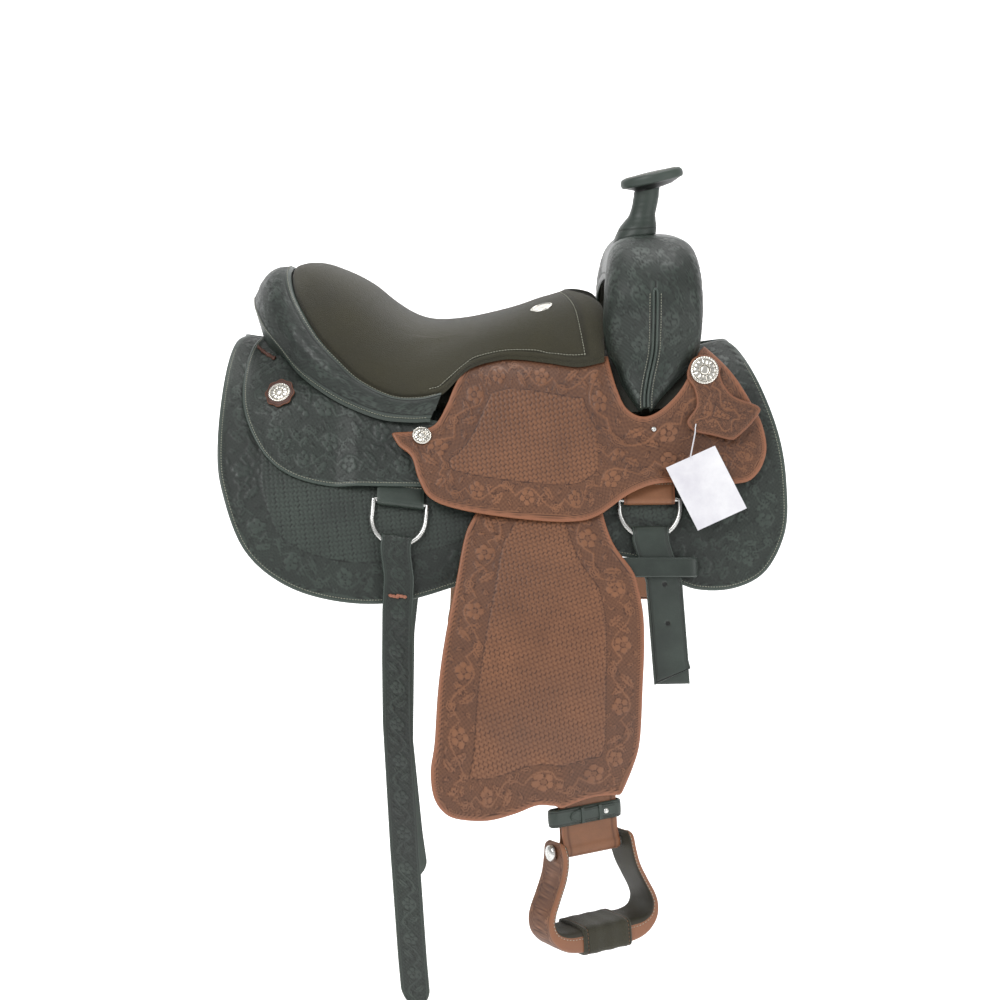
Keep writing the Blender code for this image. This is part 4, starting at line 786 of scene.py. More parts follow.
SUEDE = leather_material(
    "suede", (0.042, 0.038, 0.020), (0.025, 0.023, 0.013), (0.010, 0.009, 0.005),
    (0.052, 0.048, 0.028), 0.92, grain=0.55, sheen=0.20, scale=0.8)
SEAT_REAR_LINE = [(-98, -156, -20), (-130, -157, -18), (-167, -152, 0), (-193, -144, 23), (-217, -132, 48),
                  (-235, -114, 73), (-251, -86, 99), (-259, -48, 119), (-260, -14, 126)]
SEAT_CENTRE_LINE = [(84, 100), (72, 94), (50, 86), (22, 76), (-8, 68), (-40, 61), (-72, 58), (-94, 60),
                    (-114, 68), (-136, 83), (-158, 101), (-178, 113), (-198, 122), (-218, 129), (-240, 132),
                    (-257, 129)]
SEAT_FINE = 10
SEAT_COLUMNS = 181
SEAT_MIDDLE = SEAT_COLUMNS // 2
SEAM_IN = 8 * MM
SEAT_EDGES = np.concatenate([
    np.column_stack([SEAT_FRONT, height_at(SEAT_FRONT[:, 0], SEAT_FRONT[:, 1],
                                           lambda a, w: jockey_face(a, w) + 2 * GAP) + SEAT_EDGE_THICK]),
    np.array(SEAT_REAR_LINE) * MM])
SEAT_EDGE_FINE = curve(SEAT_EDGES, SEAT_FINE)
SEAT_CENTRE_FINE = curve(np.array(SEAT_CENTRE_LINE) * MM, SEAT_FINE)


def seat_point(station, v):
    """Points of the seat: v runs from -1 at the off edge to 1 at the near edge."""
    edge = SEAT_EDGE_FINE[station]
    centre = SEAT_CENTRE_FINE[station]
    t = np.abs(v)
    x = centre[..., 0] + (edge[..., 0] - centre[..., 0]) * t * t
    y = edge[..., 1] * (1.35 * t - 0.35 * t ** 3)
    z = edge[..., 2] + (centre[..., 1] - edge[..., 2]) * (1 - t ** 2.6)
    return np.stack([x, np.where(v < 0, y, -y), z], axis=-1)


def surface_normals(grid):
    along = np.gradient(grid, axis=0)
    across = np.gradient(grid, axis=1)
    normal = np.cross(along, across)
    return normal / np.maximum(np.linalg.norm(normal, axis=2, keepdims=True), 1e-12)


def grid_faces(rows, columns, wrap=False):
    faces = []
    for r in range(rows - 1):
        for c in range(columns if wrap else columns - 1):
            d = (c + 1) % columns
            faces.append((r * columns + c, r * columns + d, (r + 1) * columns + d, (r + 1) * columns + c))
    return faces


def closed_grid(top, bottom):
    """Closed solid between two grids of points with the same rows and columns."""
    rows, columns = top.shape[:2]
    count = rows * columns
    faces = grid_faces(rows, columns)
    faces += [tuple(count + k for k in reversed(face)) for face in grid_faces(rows, columns)]
    rim = list(range(columns)) + [r * columns + columns - 1 for r in range(1, rows)]
    rim += [(rows - 1) * columns + c for c in range(columns - 2, -1, -1)]
    rim += [r * columns for r in range(rows - 2, 0, -1)]
    faces += [(b, a, a + count, b + count) for a, b in zip(rim, rim[1:] + rim[:1])]
    return np.concatenate([top.reshape(-1, 3), bottom.reshape(-1, 3)]), faces


def filled_front(station, v):
    """The seat with its front corners filled out towards the swell, beside the hand hole."""
    points = seat_point(station, v)
    share = 1 - ease(station / (1.25 * SEAT_FINE))
    edge = SEAT_EDGE_FINE[station][..., 0]
    centre = SEAT_CENTRE_FINE[station][..., 0]
    t = np.abs(v)
    full = centre + (edge - centre) * ease(t / 0.62) ** 0.8
    points[..., 0] += (np.maximum(full, points[..., 0]) - points[..., 0]) * share
    return points


def seat():
    stations = np.arange(len(SEAT_EDGE_FINE))
    station, v = np.meshgrid(stations, np.linspace(-1, 1, SEAT_COLUMNS), indexing="ij")
    top = filled_front(station, v)
    normal = surface_normals(top)
    normal *= np.sign(normal[..., 2:3].mean())
    half = np.linalg.norm(np.diff(top, axis=1), axis=2).sum(1) / 2
    inward = (1 - np.abs(v)) * half[:, None]
    ahead = lengths_along(top[:, SEAT_MIDDLE])
    front = ahead[:, None] + np.zeros(v.shape)
    back = ahead[-1] - front
    to_edge = np.minimum(np.minimum(inward, front), back)
    seam = np.minimum(np.where(front < 0.17, inward, 1.0), front)
    x, y = top[..., 0], top[..., 1]
    groove = line_cut(seam - SEAM_IN, 1.6 * MM)
    puff = 1.4 * MM * ease((to_edge - 10 * MM) / (30 * MM))
    nap = 0.12 * np.sin(x * 900 + 3 * np.sin(y * 500)) * np.sin(y * 800 + 2 * np.sin(x * 300))
    waves = 0.5 * MM * np.sin(y * 160 + 4 * np.sin(x * 30))
    creases = waves * np.exp(-((x + 0.09) / 0.03) ** 2) * (np.abs(v) > 0.5)
    lift = puff - 1.1 * MM * groove - 1.8 * MM * round_off(to_edge, 4 * MM) + nap * 0.25 * MM + creases
    top = top + normal * lift[..., None]
    thick = (4 + 8 * np.clip((1 - np.abs(v)) / 0.3, 0, 1)) * MM
    bottom = filled_front(station, v)
    bottom[..., 2] -= thick
    points, faces = closed_grid(top, bottom)
    # Marks: the seam groove and the rolled edge are painted darker as shade; a lighter patch on the seat's
    # sides is wear and painted highlight.
    wear_and_highlight = 0.5 * ease((np.abs(y) - 0.02) / 0.06) * np.exp(-((x + 0.06) / 0.09) ** 2)
    marks = np.stack([groove * 0.7 + fade(to_edge, 4 * MM) * 0.3, wear_and_highlight, 1 - groove], axis=-1).reshape(-1, 3)
    pad = piece("seat_padding", points, faces, [SUEDE], ["seat_pad"], plain_inside(marks))
    runs = []
    first = int(np.searchsorted(ahead, SEAM_IN))
    thread = top + normal * 0.35 * MM
    for columns in (range(SEAT_MIDDLE), range(SEAT_COLUMNS - 1, SEAT_MIDDLE, -1)):
        run = []
        for r in range(first, int(np.searchsorted(ahead, 0.175))):
            run.append(thread[r, next(c for c in columns if inward[r, c] > SEAM_IN)])
        runs.append(curve(even(np.array(run), 0.012), 4))
    low = next(c for c in range(SEAT_COLUMNS) if inward[first, c] > SEAM_IN)
    runs.append(even(thread[first, low:SEAT_COLUMNS - low], 0.004))
    stitched("seat_seam", runs, "saddle", pitch=3.6 * MM, length=3.1 * MM, width=1.1 * MM)


seat()

# Cantle
# Rolled leather cover behind the seat, tooled round its whole length, with a sewn lip at the bottom.

LIP_LINE = [(-84, -163, -46), (-110, -168, -46), (-146, -167, -42), (-188, -160, -27), (-222, -152, -8),
            (-247, -138, 10), (-268, -118, 32), (-291, -88, 54), (-307, -46, 74), (-313, -14, 84),
            (-314, 0, 85)]
ROLL_HEIGHT = 15.0 * MM
CANTLE_FINE = 14
CANTLE_COLUMNS = 56
CANTLE_RIM = 6 * MM
SEAM_COLUMNS = (3, 52)


def unit(vectors):
    return vectors / np.linalg.norm(vectors, axis=-1, keepdims=True)


def rear_cover_face(x, girth):
    return rear_jockey_face(x, girth) + 2 * GAP


def loft(loops):
    """Closed solid through section loops with flat ends."""
    count = len(loops[0])
    faces = grid_faces(len(loops), count, wrap=True)
    faces.append(tuple(range(count))[::-1])
    faces.append(tuple(range((len(loops) - 1) * count, len(loops) * count)))
    return np.concatenate(loops), faces


def cantle():
    rear = SEAT_EDGES[6:]
    outward = unit(rear * [1, 1, 0] + [0.10, 0, 0])
    seam = rear + outward * GAP * 1.5
    seam = curve(np.concatenate([seam, [[seam[-1, 0] - 0.5 * MM, 0, seam[-1, 2]]]]), CANTLE_FINE)
    lip = curve(np.array(LIP_LINE) * MM, CANTLE_FINE)
    span = lip - seam
    long = np.linalg.norm(span, axis=1)
    middle = (seam + lip) / 2
    away = unit(np.stack([middle[:, 0] + 0.14, middle[:, 1] * 0.9, np.full(len(seam), 0.09)], axis=1))
    away = unit(away - unit(span) * (away * unit(span)).sum(1)[:, None])
    full = 0.4 + 0.6 * ease(np.arange(len(seam)) / (4 * CANTLE_FINE))
    t = np.linspace(0, 1, CANTLE_COLUMNS)
    crest = seam[:, None] + span[:, None] * t[None, :, None]
    crest = crest + away[:, None] * (ROLL_HEIGHT * full[:, None] * np.sin(np.pi * t ** 0.8))[..., None]
    sweep = lengths_along(middle)
    a = sweep[:, None] + np.zeros((1, len(t)))
    b = long[:, None] * 1.12 * t[None]
    near = np.minimum(b, long[:, None] * 1.12 - b)
    height, dark = scrollwork(a, b - 7 * MM, 0.064, 0.036)
    plain = near < CANTLE_RIM
    height = np.where(plain, 0, height)
    dark = np.where(plain, 0, dark)
    crease = line_cut(near - CANTLE_RIM, 0.9 * MM)
    height = height - 0.5 * crease
    dark = np.maximum(dark, crease)
    rolled = 1.5 * MM * round_off(near, 2 * MM)
    normal = surface_normals(crest)
    normal *= np.sign((normal * away[:, None]).sum())
    crest = crest + normal * (height * 0.8 * MM - rolled)[..., None]
    inward = unit(np.stack([-0.10 - lip[:, 0], -lip[:, 1], np.zeros(len(lip))], axis=1))
    under = lip + inward * 2 * MM - np.array([0, 0, 4 * MM])
    under[:, 2] = np.maximum(under[:, 2], height_at(under[:, 0], under[:, 1], rear_cover_face))
    foot = lip + inward * 11 * MM
    foot[:, 2] = height_at(foot[:, 0], foot[:, 1], rear_cover_face)
    back = [under, foot]
    for reach in (0.84, 0.70, 0.55):
        point = seam + (foot - seam) * reach
        laid_on = height_at(point[:, 0], point[:, 1], rear_cover_face)
        point[:, 2] = np.minimum(seam[:, 2] - SEAT_EDGE_THICK, laid_on)
        back.append(point)
    loop = np.concatenate([crest, np.stack(back, axis=1)], axis=1)
    # The rim is marked lighter as wear and painted highlight; cuts and the crease are marked dark as painted
    # shade.
    rim = fade(near, 5 * MM) * 0.7
    marks = np.stack([np.clip(dark, 0, 1), rim, np.clip(1 + height, 0, 1)], axis=2)
    marks = np.concatenate([marks, np.zeros((len(seam), len(back), 3))], axis=1)
    sections = np.concatenate([loop, mirrored(loop[:-1])[::-1]])
    marks = np.concatenate([marks, marks[:-1][::-1]])
    points, faces = loft(list(sections))
    piece("cantle_tooled", points, faces, [GREEN], ["cantle_cover"], marks.reshape(-1, 3))
    runs = []
    for column in SEAM_COLUMNS:
        half = crest[4:, column] + normal[4:, column] * 0.3 * MM
        runs.append(np.concatenate([half, mirrored(half[:-1])[::-1]]))
    stitched("cantle_seams", runs, "saddle")


cantle()

# Swell and horn
# Leather shrunk over the wooden fork, closed at each side by a piped welt.
# The horn is wrapped in the same leather and has a laced cap with a glossy underside.

BLACK = leather_material(
    "black_leather", (0.012, 0.013, 0.012), (0.006, 0.007, 0.006), (0.002, 0.002, 0.002),
    (0.020, 0.022, 0.020), 0.34)

FORK = [
    # outer y, outer z, inner y, inner z, rear x, front x
    (0, 168, 0, 112, 134, 247),
    (-50, 167, -42, 108, 132, 248),
    (-95, 154, -72, 96, 129, 249),
    (-128, 126, -90, 76, 127, 249),
    (-140, 92, -97, 52, 127, 248),
    (-133, 58, -99, 28, 132, 244),
    (-125, 30, -104, 8, 143, 232),
    (-129, 0, -113, -12, 150, 213),
    (-138, -20, -124, -28, 160, 196),
    (-145, -34, -133, -42, 170, 185),
]
FORK_FINE = 14
FORK_CORNER = 3.4
FORK_COLUMNS = 241
SWELL_RIM = 8 * MM
SWELL_PLAIN = 0.052
WELT_TOP = 0.158
WELT_HALF = 2.4 * MM
COVER_THICK = 3.0 * MM


def fork_grid(depth, columns):
    """Rows of the fork cover from the middle down the off side, each from rear edge to front edge."""
    outer_y, outer_z, inner_y, inner_z, rear, front = (curve(np.array(FORK, float), FORK_FINE) * MM).T
    zero = np.zeros(len(rear))
    outer = np.stack([zero, outer_y, outer_z], axis=1)
    inner = np.stack([zero, inner_y, inner_z], axis=1)
    thick = np.linalg.norm(outer - inner, axis=1) - depth
    out = unit(outer - inner)
    turn = np.pi * (1 - np.linspace(0, 1, columns))
    power = 2 / FORK_CORNER
    c, s = np.cos(turn), np.sin(turn)
    along = ((front - rear) / 2 - depth)[:, None] * (np.sign(c) * np.abs(c) ** power)[None]
    up = thick[:, None] * (np.abs(s) ** power)[None]
    grid = inner[:, None] + out[:, None] * up[..., None]
    grid[..., 0] = ((front + rear) / 2)[:, None] + along
    return grid


def spaced(grid):
    """Rows resampled so that their points are evenly spread."""
    return np.array([even_count(row, grid.shape[1]) for row in grid])


def swell():
    top = spaced(fork_grid(0.0, FORK_COLUMNS))[:, ::2]
    bottom = spaced(fork_grid(COVER_THICK, FORK_COLUMNS))[:, ::2]
    top = np.concatenate([mirrored(top[1:])[::-1], top])
    bottom = np.concatenate([mirrored(bottom[1:])[::-1], bottom])
    normal = surface_normals(top)
    normal *= np.sign((normal * (top - bottom)).sum())
    across = lengths_along(top[:, FORK_COLUMNS // 4])
    across = np.abs(across - across[-1] / 2)
    along = np.linalg.norm(np.diff(top, axis=1), axis=2).cumsum(1)
    along = np.concatenate([np.zeros((len(top), 1)), along], axis=1)
    near = np.minimum(along, along[:, -1:] - along)
    a = across[:, None] + np.zeros(near.shape)
    height, dark = scrollwork(a + 0.016, along - along[:, -1:] / 2, 0.066, 0.036)
    middle = np.abs(top[..., 0] - (top[:, 0, 0] + top[:, -1, 0])[:, None] / 2)
    welt = (middle < 7 * MM) & (a > 0.150)
    plain = (near < SWELL_RIM) | welt | (a < SWELL_PLAIN)
    height = np.where(plain, 0, height)
    dark = np.where(plain, 0, dark)
    crease = line_cut(near - SWELL_RIM, 0.9 * MM) + line_cut(a - SWELL_PLAIN, 0.9 * MM) * 0.6
    height = height - 0.5 * crease
    beside = line_cut(middle, 0.9 * MM) + line_cut(middle - 4.6 * MM, 0.9 * MM)
    dark = np.clip(np.maximum(dark, crease + beside * welt), 0, 1)
    height = height - 0.9 * beside * welt
    rolled = 1.3 * MM * round_off(near, 2 * MM)
    shaped = top + normal * (height * 0.8 * MM - rolled)[..., None]
    # Cuts, creases and the grooves beside the welt are marked dark as painted shade; edges are marked lighter
    # as wear and painted highlight.
    marks = np.stack([dark, fade(near, 5 * MM) * 0.6, 1 + np.clip(height, -1, 0)], axis=2)
    points, faces = closed_grid(shaped, bottom)
    marks = np.concatenate([marks.reshape(-1, 3), np.zeros((len(marks) * marks.shape[1], 3))])
    piece("swell_tooled", points, faces, [GREEN], ["swell_cover"], marks)
    rows = [r for r in range(len(top) // 2, len(top)) if across[r] > WELT_TOP]
    cords = []
    seams = []
    for offset in (-WELT_HALF, WELT_HALF):
        line = []
        seam = []
        for r in rows:
            x = top[r, :, 0]
            centre = (x[0] + x[-1]) / 2 + offset * ease((across[r] - WELT_TOP) / 0.006)
            c = int(np.argmin(np.abs(x - centre)[10:-10])) + 10
            spot = top[r, c].copy()
            spot[0] = centre
            line.append(spot + normal[r, c] * 0.4 * MM)
            away = spot + normal[r, c] * 0.2 * MM
            away[0] += math.copysign(4.4 * MM, offset)
            seam.append(away)
        cords.append(line)
        seams.append(np.array(seam[3:]))
    cord = np.array(cords[0][::-1] + cords[1][1:])
    points, faces = tube(even(cord, 0.0025), 1.7 * MM, 12)
    # The welt cord is marked lighter all over, as wear and painted highlight.
    marks = np.tile([0.0, 0.7, 1.0], (len(points), 1))
    both("swell_welt", None, points, faces, [GREEN], marks, bodies=ON_SADDLE)
    stitched_pair("swell_welt_seam", seams)


def tube(path, radius, sides, closed=False):
    """Closed round bar along a path."""
    count = len(path)
    if closed:
        along = unit(np.roll(path, -1, axis=0) - np.roll(path, 1, axis=0))
    else:
        along = unit(np.gradient(path, axis=0))
    normal = np.cross(along[0], [0.3, 0.5, 0.81])
    points = []
    for k in range(count):
        normal = unit(normal - along[k] * (normal * along[k]).sum())
        other = np.cross(along[k], normal)
        for turn in np.arange(sides) * math.tau / sides:
            points.append(path[k] + (normal * math.cos(turn) + other * math.sin(turn)) * radius)
    faces = grid_faces(count, sides, wrap=True)
    if closed:
        last = (count - 1) * sides
        first = np.array(points[:sides])
        shift = int(np.argmin(np.linalg.norm(first - points[last], axis=1)))
        faces += [(last + c, last + (c + 1) % sides, (c + 1 + shift) % sides, (c + shift) % sides)
                  for c in range(sides)]
    else:
        faces.append(tuple(range(sides))[::-1])
        faces.append(tuple(range((count - 1) * sides, count * sides)))
    return np.array(points), faces


def double_wall(rows, sides):
    """Faces of a tube wall: outer rows, then inner rows, joined at both ends."""
    count = rows * sides
    faces = grid_faces(rows, sides, wrap=True)
    faces += [tuple(count + k for k in reversed(face)) for face in faces]
    for start in (0, count - sides):
        for c in range(sides):
            d = (c + 1) % sides
            faces.append((start + c, start + d, count + start + d, count + start + c))
    return faces


def ring(centre, across, up, radius_a, radius_b, sides):
    turn = np.arange(sides) * math.tau / sides
    return centre + np.outer(np.cos(turn) * radius_a, across) + np.outer(np.sin(turn) * radius_b, up)


swell()

HORN_BASE = np.array([0.170, 0.0, 0.1686])
HORN_TOP = np.array([0.186, 0.0, 0.232])
HORN_ROWS = 60
HORN_SIDES = 64
HORN_SPAN = 66 * MM
HORN_CAP_TILT = math.radians(13)
CAP_SIDES = 96
HORN_CAP_LENGTH = 0.080
HORN_CAP_WIDTH = 0.064
HORN_AXIS = np.array([-math.sin(HORN_CAP_TILT), 0, math.cos(HORN_CAP_TILT)])
HORN_AHEAD = np.array([math.cos(HORN_CAP_TILT), 0, math.sin(HORN_CAP_TILT)])
ACROSS = np.array([0.0, 1.0, 0.0])


# hollow that takes the horn's plate: rise off the horn's top, half length and half width
CAP_SEAT = ((5.6, 24.6, 21.6), (0.0, 24.6, 21.6), (0.0, 17.6, 16.4), (-7.4, 17.8, 16.8))
CAP_UNDER_ROWS = 15


def fork_top(x):
    """Height of the swell cover along its middle."""
    share = np.clip(np.abs((x - 0.1905) / 0.0565), 0, 1)
    return 0.112 + 0.056 * (1 - share ** FORK_CORNER) ** (1 / FORK_CORNER)


def horn():
    outer = []
    inner = []
    marks = []
    for t in np.linspace(0, 1, HORN_ROWS):
        bow = np.array([0.004, 0, 0]) * math.sin(math.pi * t)
        centre = HORN_BASE + (HORN_TOP - HORN_BASE) * t + bow
        flare = (16.5 + 10.5 * (1 - float(ease(t / 0.45)))) * MM
        front = unit(np.array([1.0, 0, 0]) * (1 - t) + HORN_AHEAD * t)
        crease = sum(float(line_cut((t - place) * HORN_SPAN, 0.9 * MM)) for place in (0.90, 0.13))
        wrinkle = 0.12 * math.sin(t * 46 + math.sin(t * 21))
        flare += (-0.8 * crease + wrinkle) * MM
        outer.append(ring(centre, front, ACROSS, flare, flare * 0.92, HORN_SIDES))
        fall = np.maximum(0, HORN_BASE[2] - fork_top(outer[-1][:, 0]) - 0.5 * MM)
        outer[-1][:, 2] -= fall * (1 - float(ease(t / 0.30)))
        inner.append(ring(centre, front, ACROSS, 8.8 * MM, 8.8 * MM, HORN_SIDES))
        # Creases are marked dark as painted shade; a faint lighter tone is wear and painted highlight.
        marks.append(np.tile([min(1.0, crease), 0.15, 1.0], (HORN_SIDES, 1)))
    points = np.concatenate(outer + inner)
    faces = double_wall(HORN_ROWS, HORN_SIDES)
    piece("horn_wrapping", points, faces, [GREEN], ["horn_wrap"], np.concatenate(marks + marks))


def cap():
    """Cap laced over the horn's plate: rolled rim, domed top, and an underside that slopes to the neck."""
    middle = HORN_TOP + HORN_AHEAD * 7 * MM

    def oval(rise, share, sides=CAP_SIDES):
        return ring(middle + HORN_AXIS * rise * MM, HORN_AHEAD, ACROSS, HORN_CAP_LENGTH / 2 * share,
                    HORN_CAP_WIDTH / 2 * share, sides)
    rim = curve([(0.60, -5.6), (0.74, -3.2), (0.88, -0.8), (0.965, 0.2), (1.0, 3.0), (1.0, 6.6),
                 (0.975, 9.6), (0.91, 11.6), (0.82, 12.3), (0.60, 13.0), (0.30, 13.6)], 6)
    loops = []
    for rise, length, width in CAP_SEAT:
        loops.append(ring(HORN_TOP + HORN_AXIS * rise * MM, HORN_AHEAD, ACROSS, length * MM, width * MM,
                          CAP_SIDES))
    loops += [oval(rise, share) for share, rise in rim]
    points, faces = loft(loops)
    under = len(CAP_SEAT) - 1 + CAP_UNDER_ROWS
    picks = [1 if k < under * CAP_SIDES else 0 for k in range(len(faces))]
    share = np.repeat(np.concatenate([[0] * len(CAP_SEAT), rim[:, 0]]), CAP_SIDES)
    row = np.repeat(np.arange(len(loops)), CAP_SIDES)
    # The groove ring is marked dark as painted shade; the cap's outer rim is marked lighter as wear and
    # painted highlight.
    groove = line_cut((share - 0.86) * 36 * MM, 0.8 * MM) * (row > 38)
    edge_wear_and_highlight = np.clip((share - 0.93) * 8, 0, 0.5) * (row > 20)
    marks = np.stack([groove * 0.8, edge_wear_and_highlight, 1 - groove], axis=1)
    piece("horn_cap_leather", points, faces, [GREEN, BLACK], ["horn_cap"], marks, picks)
    run = oval(12.5, 0.80, CAP_SIDES + 1)
    stitched("horn_cap_seam", [np.concatenate([run, run[:1]])], "saddle")


horn()
cap()

# Hanging leathers and fenders
# A stirrup leather hangs from the tree on each side and carries a fender stamped like the jockeys.
# A hobble strap ties its layers above the stirrup, and a sliding steel buckle behind sets its length.

FLAT = 0.100
PIVOT_STATION = 0.068
PIVOT_GIRTH = 0.178
LEATHER_THICK = 3.5 * MM
LEATHER_HALF = 0.038
FENDER_THICK = 3.5 * MM
HANG_LEAN = math.radians(3.5)
HANG_TWIST = math.radians(24)
HANG_DROP = math.radians(8)
HANG_STEP = 2.5 * MM
BOLT_DROP = 0.472
RETURN_LIFT = -(LEATHER_THICK + GAP)
BOLT_LIFT = RETURN_LIFT / 2


def facing(side, down):
    outward = np.cross(side, down)
    return outward * np.where(outward[..., 1:2] > 0, -1, 1)


def barrel_frame(x, girth, lift):
    """Point on the barrel with its forward, down and outward directions."""
    point = barrel(x, girth, lift)
    forward = unit(barrel(x + MM, girth, lift) - barrel(x - MM, girth, lift))
    down = unit(barrel(x, girth + MM, lift) - barrel(x, girth - MM, lift))
    outward = unit(facing(forward, down))
    down = unit(down - outward * (down * outward).sum())
    side = np.cross(down, outward)
    return point, side * np.sign(side[0]), down, outward


HANG_POINT, _, _, HANG_OUT = barrel_frame(PIVOT_STATION, PIVOT_GIRTH, STRAP_IN + LEATHER_THICK / 2)
HANG_TILT = math.asin(HANG_OUT[2])
HANG_YAW = math.atan2(HANG_OUT[0], -HANG_OUT[1])


def hang_turn(drop):
    """Down, across and outward directions of the leather at drops below its pivot."""
    drop = np.asarray(drop, float)
    tilt = HANG_TILT + (HANG_DROP - HANG_TILT) * ease((drop - FLAT) / 0.300)
    turn = HANG_YAW + HANG_TWIST * ease((drop - 0.130) / 0.330)
    zero = np.zeros(drop.shape)
    level = np.stack([np.sin(turn), -np.cos(turn), zero], axis=-1)
    away = np.array([math.sin(HANG_YAW), -math.cos(HANG_YAW), 0])
    down = away * np.sin(tilt)[..., None] - np.stack([zero, zero, np.cos(tilt)], axis=-1)
    across = np.cross(down, level)
    across = across * np.where(across[..., :1] < 0, -1, 1)
    across = unit(across - down * (across * down).sum(-1, keepdims=True))
    outward = facing(across, down)
    lean_down = down * math.cos(HANG_LEAN) + across * math.sin(HANG_LEAN)
    across = across * math.cos(HANG_LEAN) - down * math.sin(HANG_LEAN)
    return lean_down, across, outward


HANG_STEPS = np.arange(int(0.60 / HANG_STEP))
HANG_MOVES = hang_turn((HANG_STEPS + 0.5) * HANG_STEP)[0] * HANG_STEP
HANG_LINE = np.concatenate([[HANG_POINT], HANG_POINT + np.cumsum(HANG_MOVES, axis=0)])


def hang(across, drop, lift):
    """Points of the hanging leather: across it, down from its pivot, and off its face."""
    across, drop, lift = np.broadcast_arrays(*(np.asarray(value, float) for value in (across, drop, lift)))
    down, side, outward = hang_turn(np.maximum(drop, 0))
    step = np.clip((drop / HANG_STEP).astype(int), 0, len(HANG_LINE) - 1)
    centre = HANG_LINE[step] + down * (drop - step * HANG_STEP)[..., None]
    return centre + side * across[..., None] + outward * lift[..., None]


def fender_low(across, drop):
    return LEATHER_THICK / 2 + GAP + 2.6 * MM * ease((drop - 0.12) / 0.10)


def fender_high(across, drop):
    return fender_low(across, drop) + FENDER_THICK


FENDER_EDGE = outline(
    [(-80, 30), (-105, 65), (-120, 92), (-135, 145), (-144, 175), (-156, 214), (-172, 270), (-186, 325),
     (-197, 355), (-199, 381), (-191, 399), (-175, 410), (-138, 418), (-102, 416), (-72, 411), (-49, 415)],
    [(-49, 415), (-39, 419), (-21, 416), (6, 413), (40, 416)],
    [(40, 416), (45, 411), (60, 384), (70, 354), (76, 290), (81, 241), (83, 202), (80, 168), (76, 150),
     (61, 124), (54, 106), (49, 80), (46, 40), (43, 5), (34, -24)],
    [(34, -24), (0, -41), (-34, -24), (-58, 0), (-80, 30)], spacing=0.0025)
pair_of("fender_tooled", "fender",
        laid(FENDER_EDGE, 1.6 * MM, hang, fender_low, fender_high,
             tooling(rim=6 * MM, band=38 * MM, period=72 * MM)), [TAN, FLESH])


def strap_mesh(rows, halves, outward, thick, columns, relief, side):
    """Strap through centre rows, each with a half width, face and side direction; its edges are rounded."""
    along = lengths_along(rows)
    span = np.linspace(-1, 1, columns)
    halves = np.broadcast_to(halves, (len(rows),))
    across = span[None] * halves[:, None]
    edge = np.minimum((1 - np.abs(span))[None] * halves[:, None], 1.0)
    ends = np.minimum(along, along[-1] - along)[:, None]
    near = np.minimum(edge, ends)
    drop = 0.9 * MM * round_off(near, 1.6 * MM)
    height, marks = relief(across, along[:, None] + 0 * edge, edge, ends)
    face = outward[:, None]
    centre = rows[:, None] + side[:, None] * across[..., None]
    top = centre + face * (thick / 2 - drop + height)[..., None]
    bottom = centre - face * (thick / 2 - drop)[..., None]
    points, faces = closed_grid(top, bottom)
    return points, faces, plain_inside(marks.reshape(-1, 3))


def creased(distance, double=False, holes=()):
    """Relief of a plain strap: one or two creased lines along its edges, and punched holes."""
    def relief(s, v, edge, ends):
        near = np.minimum(edge, ends)
        crease = line_cut(near - distance, 0.7 * MM)
        if double:
            crease = crease + 0.7 * line_cut(near - distance - 1.8 * MM, 0.6 * MM)
        dark = crease
        height = -0.7 * crease
        for a, b, radius in holes:
            inside = np.hypot(s - a, ends - b)
            hollow = np.clip((radius - inside) / (0.9 * MM), 0, 1)
            height = height - 1.6 * hollow
            dark = np.maximum(dark, hollow)
        # Creases and punched holes are marked dark as painted shade; edges are marked lighter as wear and
        # painted highlight.
        edge_wear_and_highlight = fade(edge, 2.2 * MM) * 0.8
        return height * MM, np.stack([np.clip(dark, 0, 1), edge_wear_and_highlight, 1 - np.clip(crease, 0, 1)], axis=-1)
    return relief


def hung_strap(path, half_of, thick, relief):
    """Strap whose path is given as drop and lift in the hang frame."""
    path = even(path, 2.2 * MM)
    ahead = unit(np.gradient(path, axis=0))
    normal = np.stack([-ahead[:, 1], ahead[:, 0]], axis=1)
    down, side, outward = hang_turn(np.maximum(path[:, 0], 0))
    face = down * normal[:, :1] + outward * normal[:, 1:]
    centre = hang(0.0, path[:, 0], path[:, 1])
    return strap_mesh(centre, half_of(path), unit(face), thick, 31, relief, side)


def turned_path(centre, lift, radius, angles):
    angles = np.radians(angles)
    return np.stack([centre + radius * np.cos(angles), lift + radius * np.sin(angles)], axis=1)


def stirrup_leathers():
    turn = 5.5 * MM + LEATHER_THICK / 2
    path = np.concatenate([[(-0.0374, 0.0), (0.455, 0.0), (0.4575, 0.0006)],
                           turned_path(BOLT_DROP, BOLT_LIFT, turn, np.arange(135, -136, -9)),
                           [(0.4575, RETURN_LIFT - 0.0006), (0.450, RETURN_LIFT), (0.345, RETURN_LIFT)]])

    def half_of(path):
        rounded = np.clip(-path[:, 0], 0, LEATHER_HALF - 0.4 * MM)
        return np.sqrt(LEATHER_HALF ** 2 - np.where(path[:, 1] > -1 * MM, rounded, 0) ** 2)
    points, faces, marks = hung_strap(path, half_of, LEATHER_THICK, creased(6.0 * MM, double=True))
    both("leather_creased", "stirrup_leather", points, faces, [TAN], marks)


BIGHT_LINE = ((65, 32.6), (82, 32.7), (100, 32.6), (122, 31.0), (130.5, 28.0))
BIGHT_DROPS = (-44.5, -39.2)


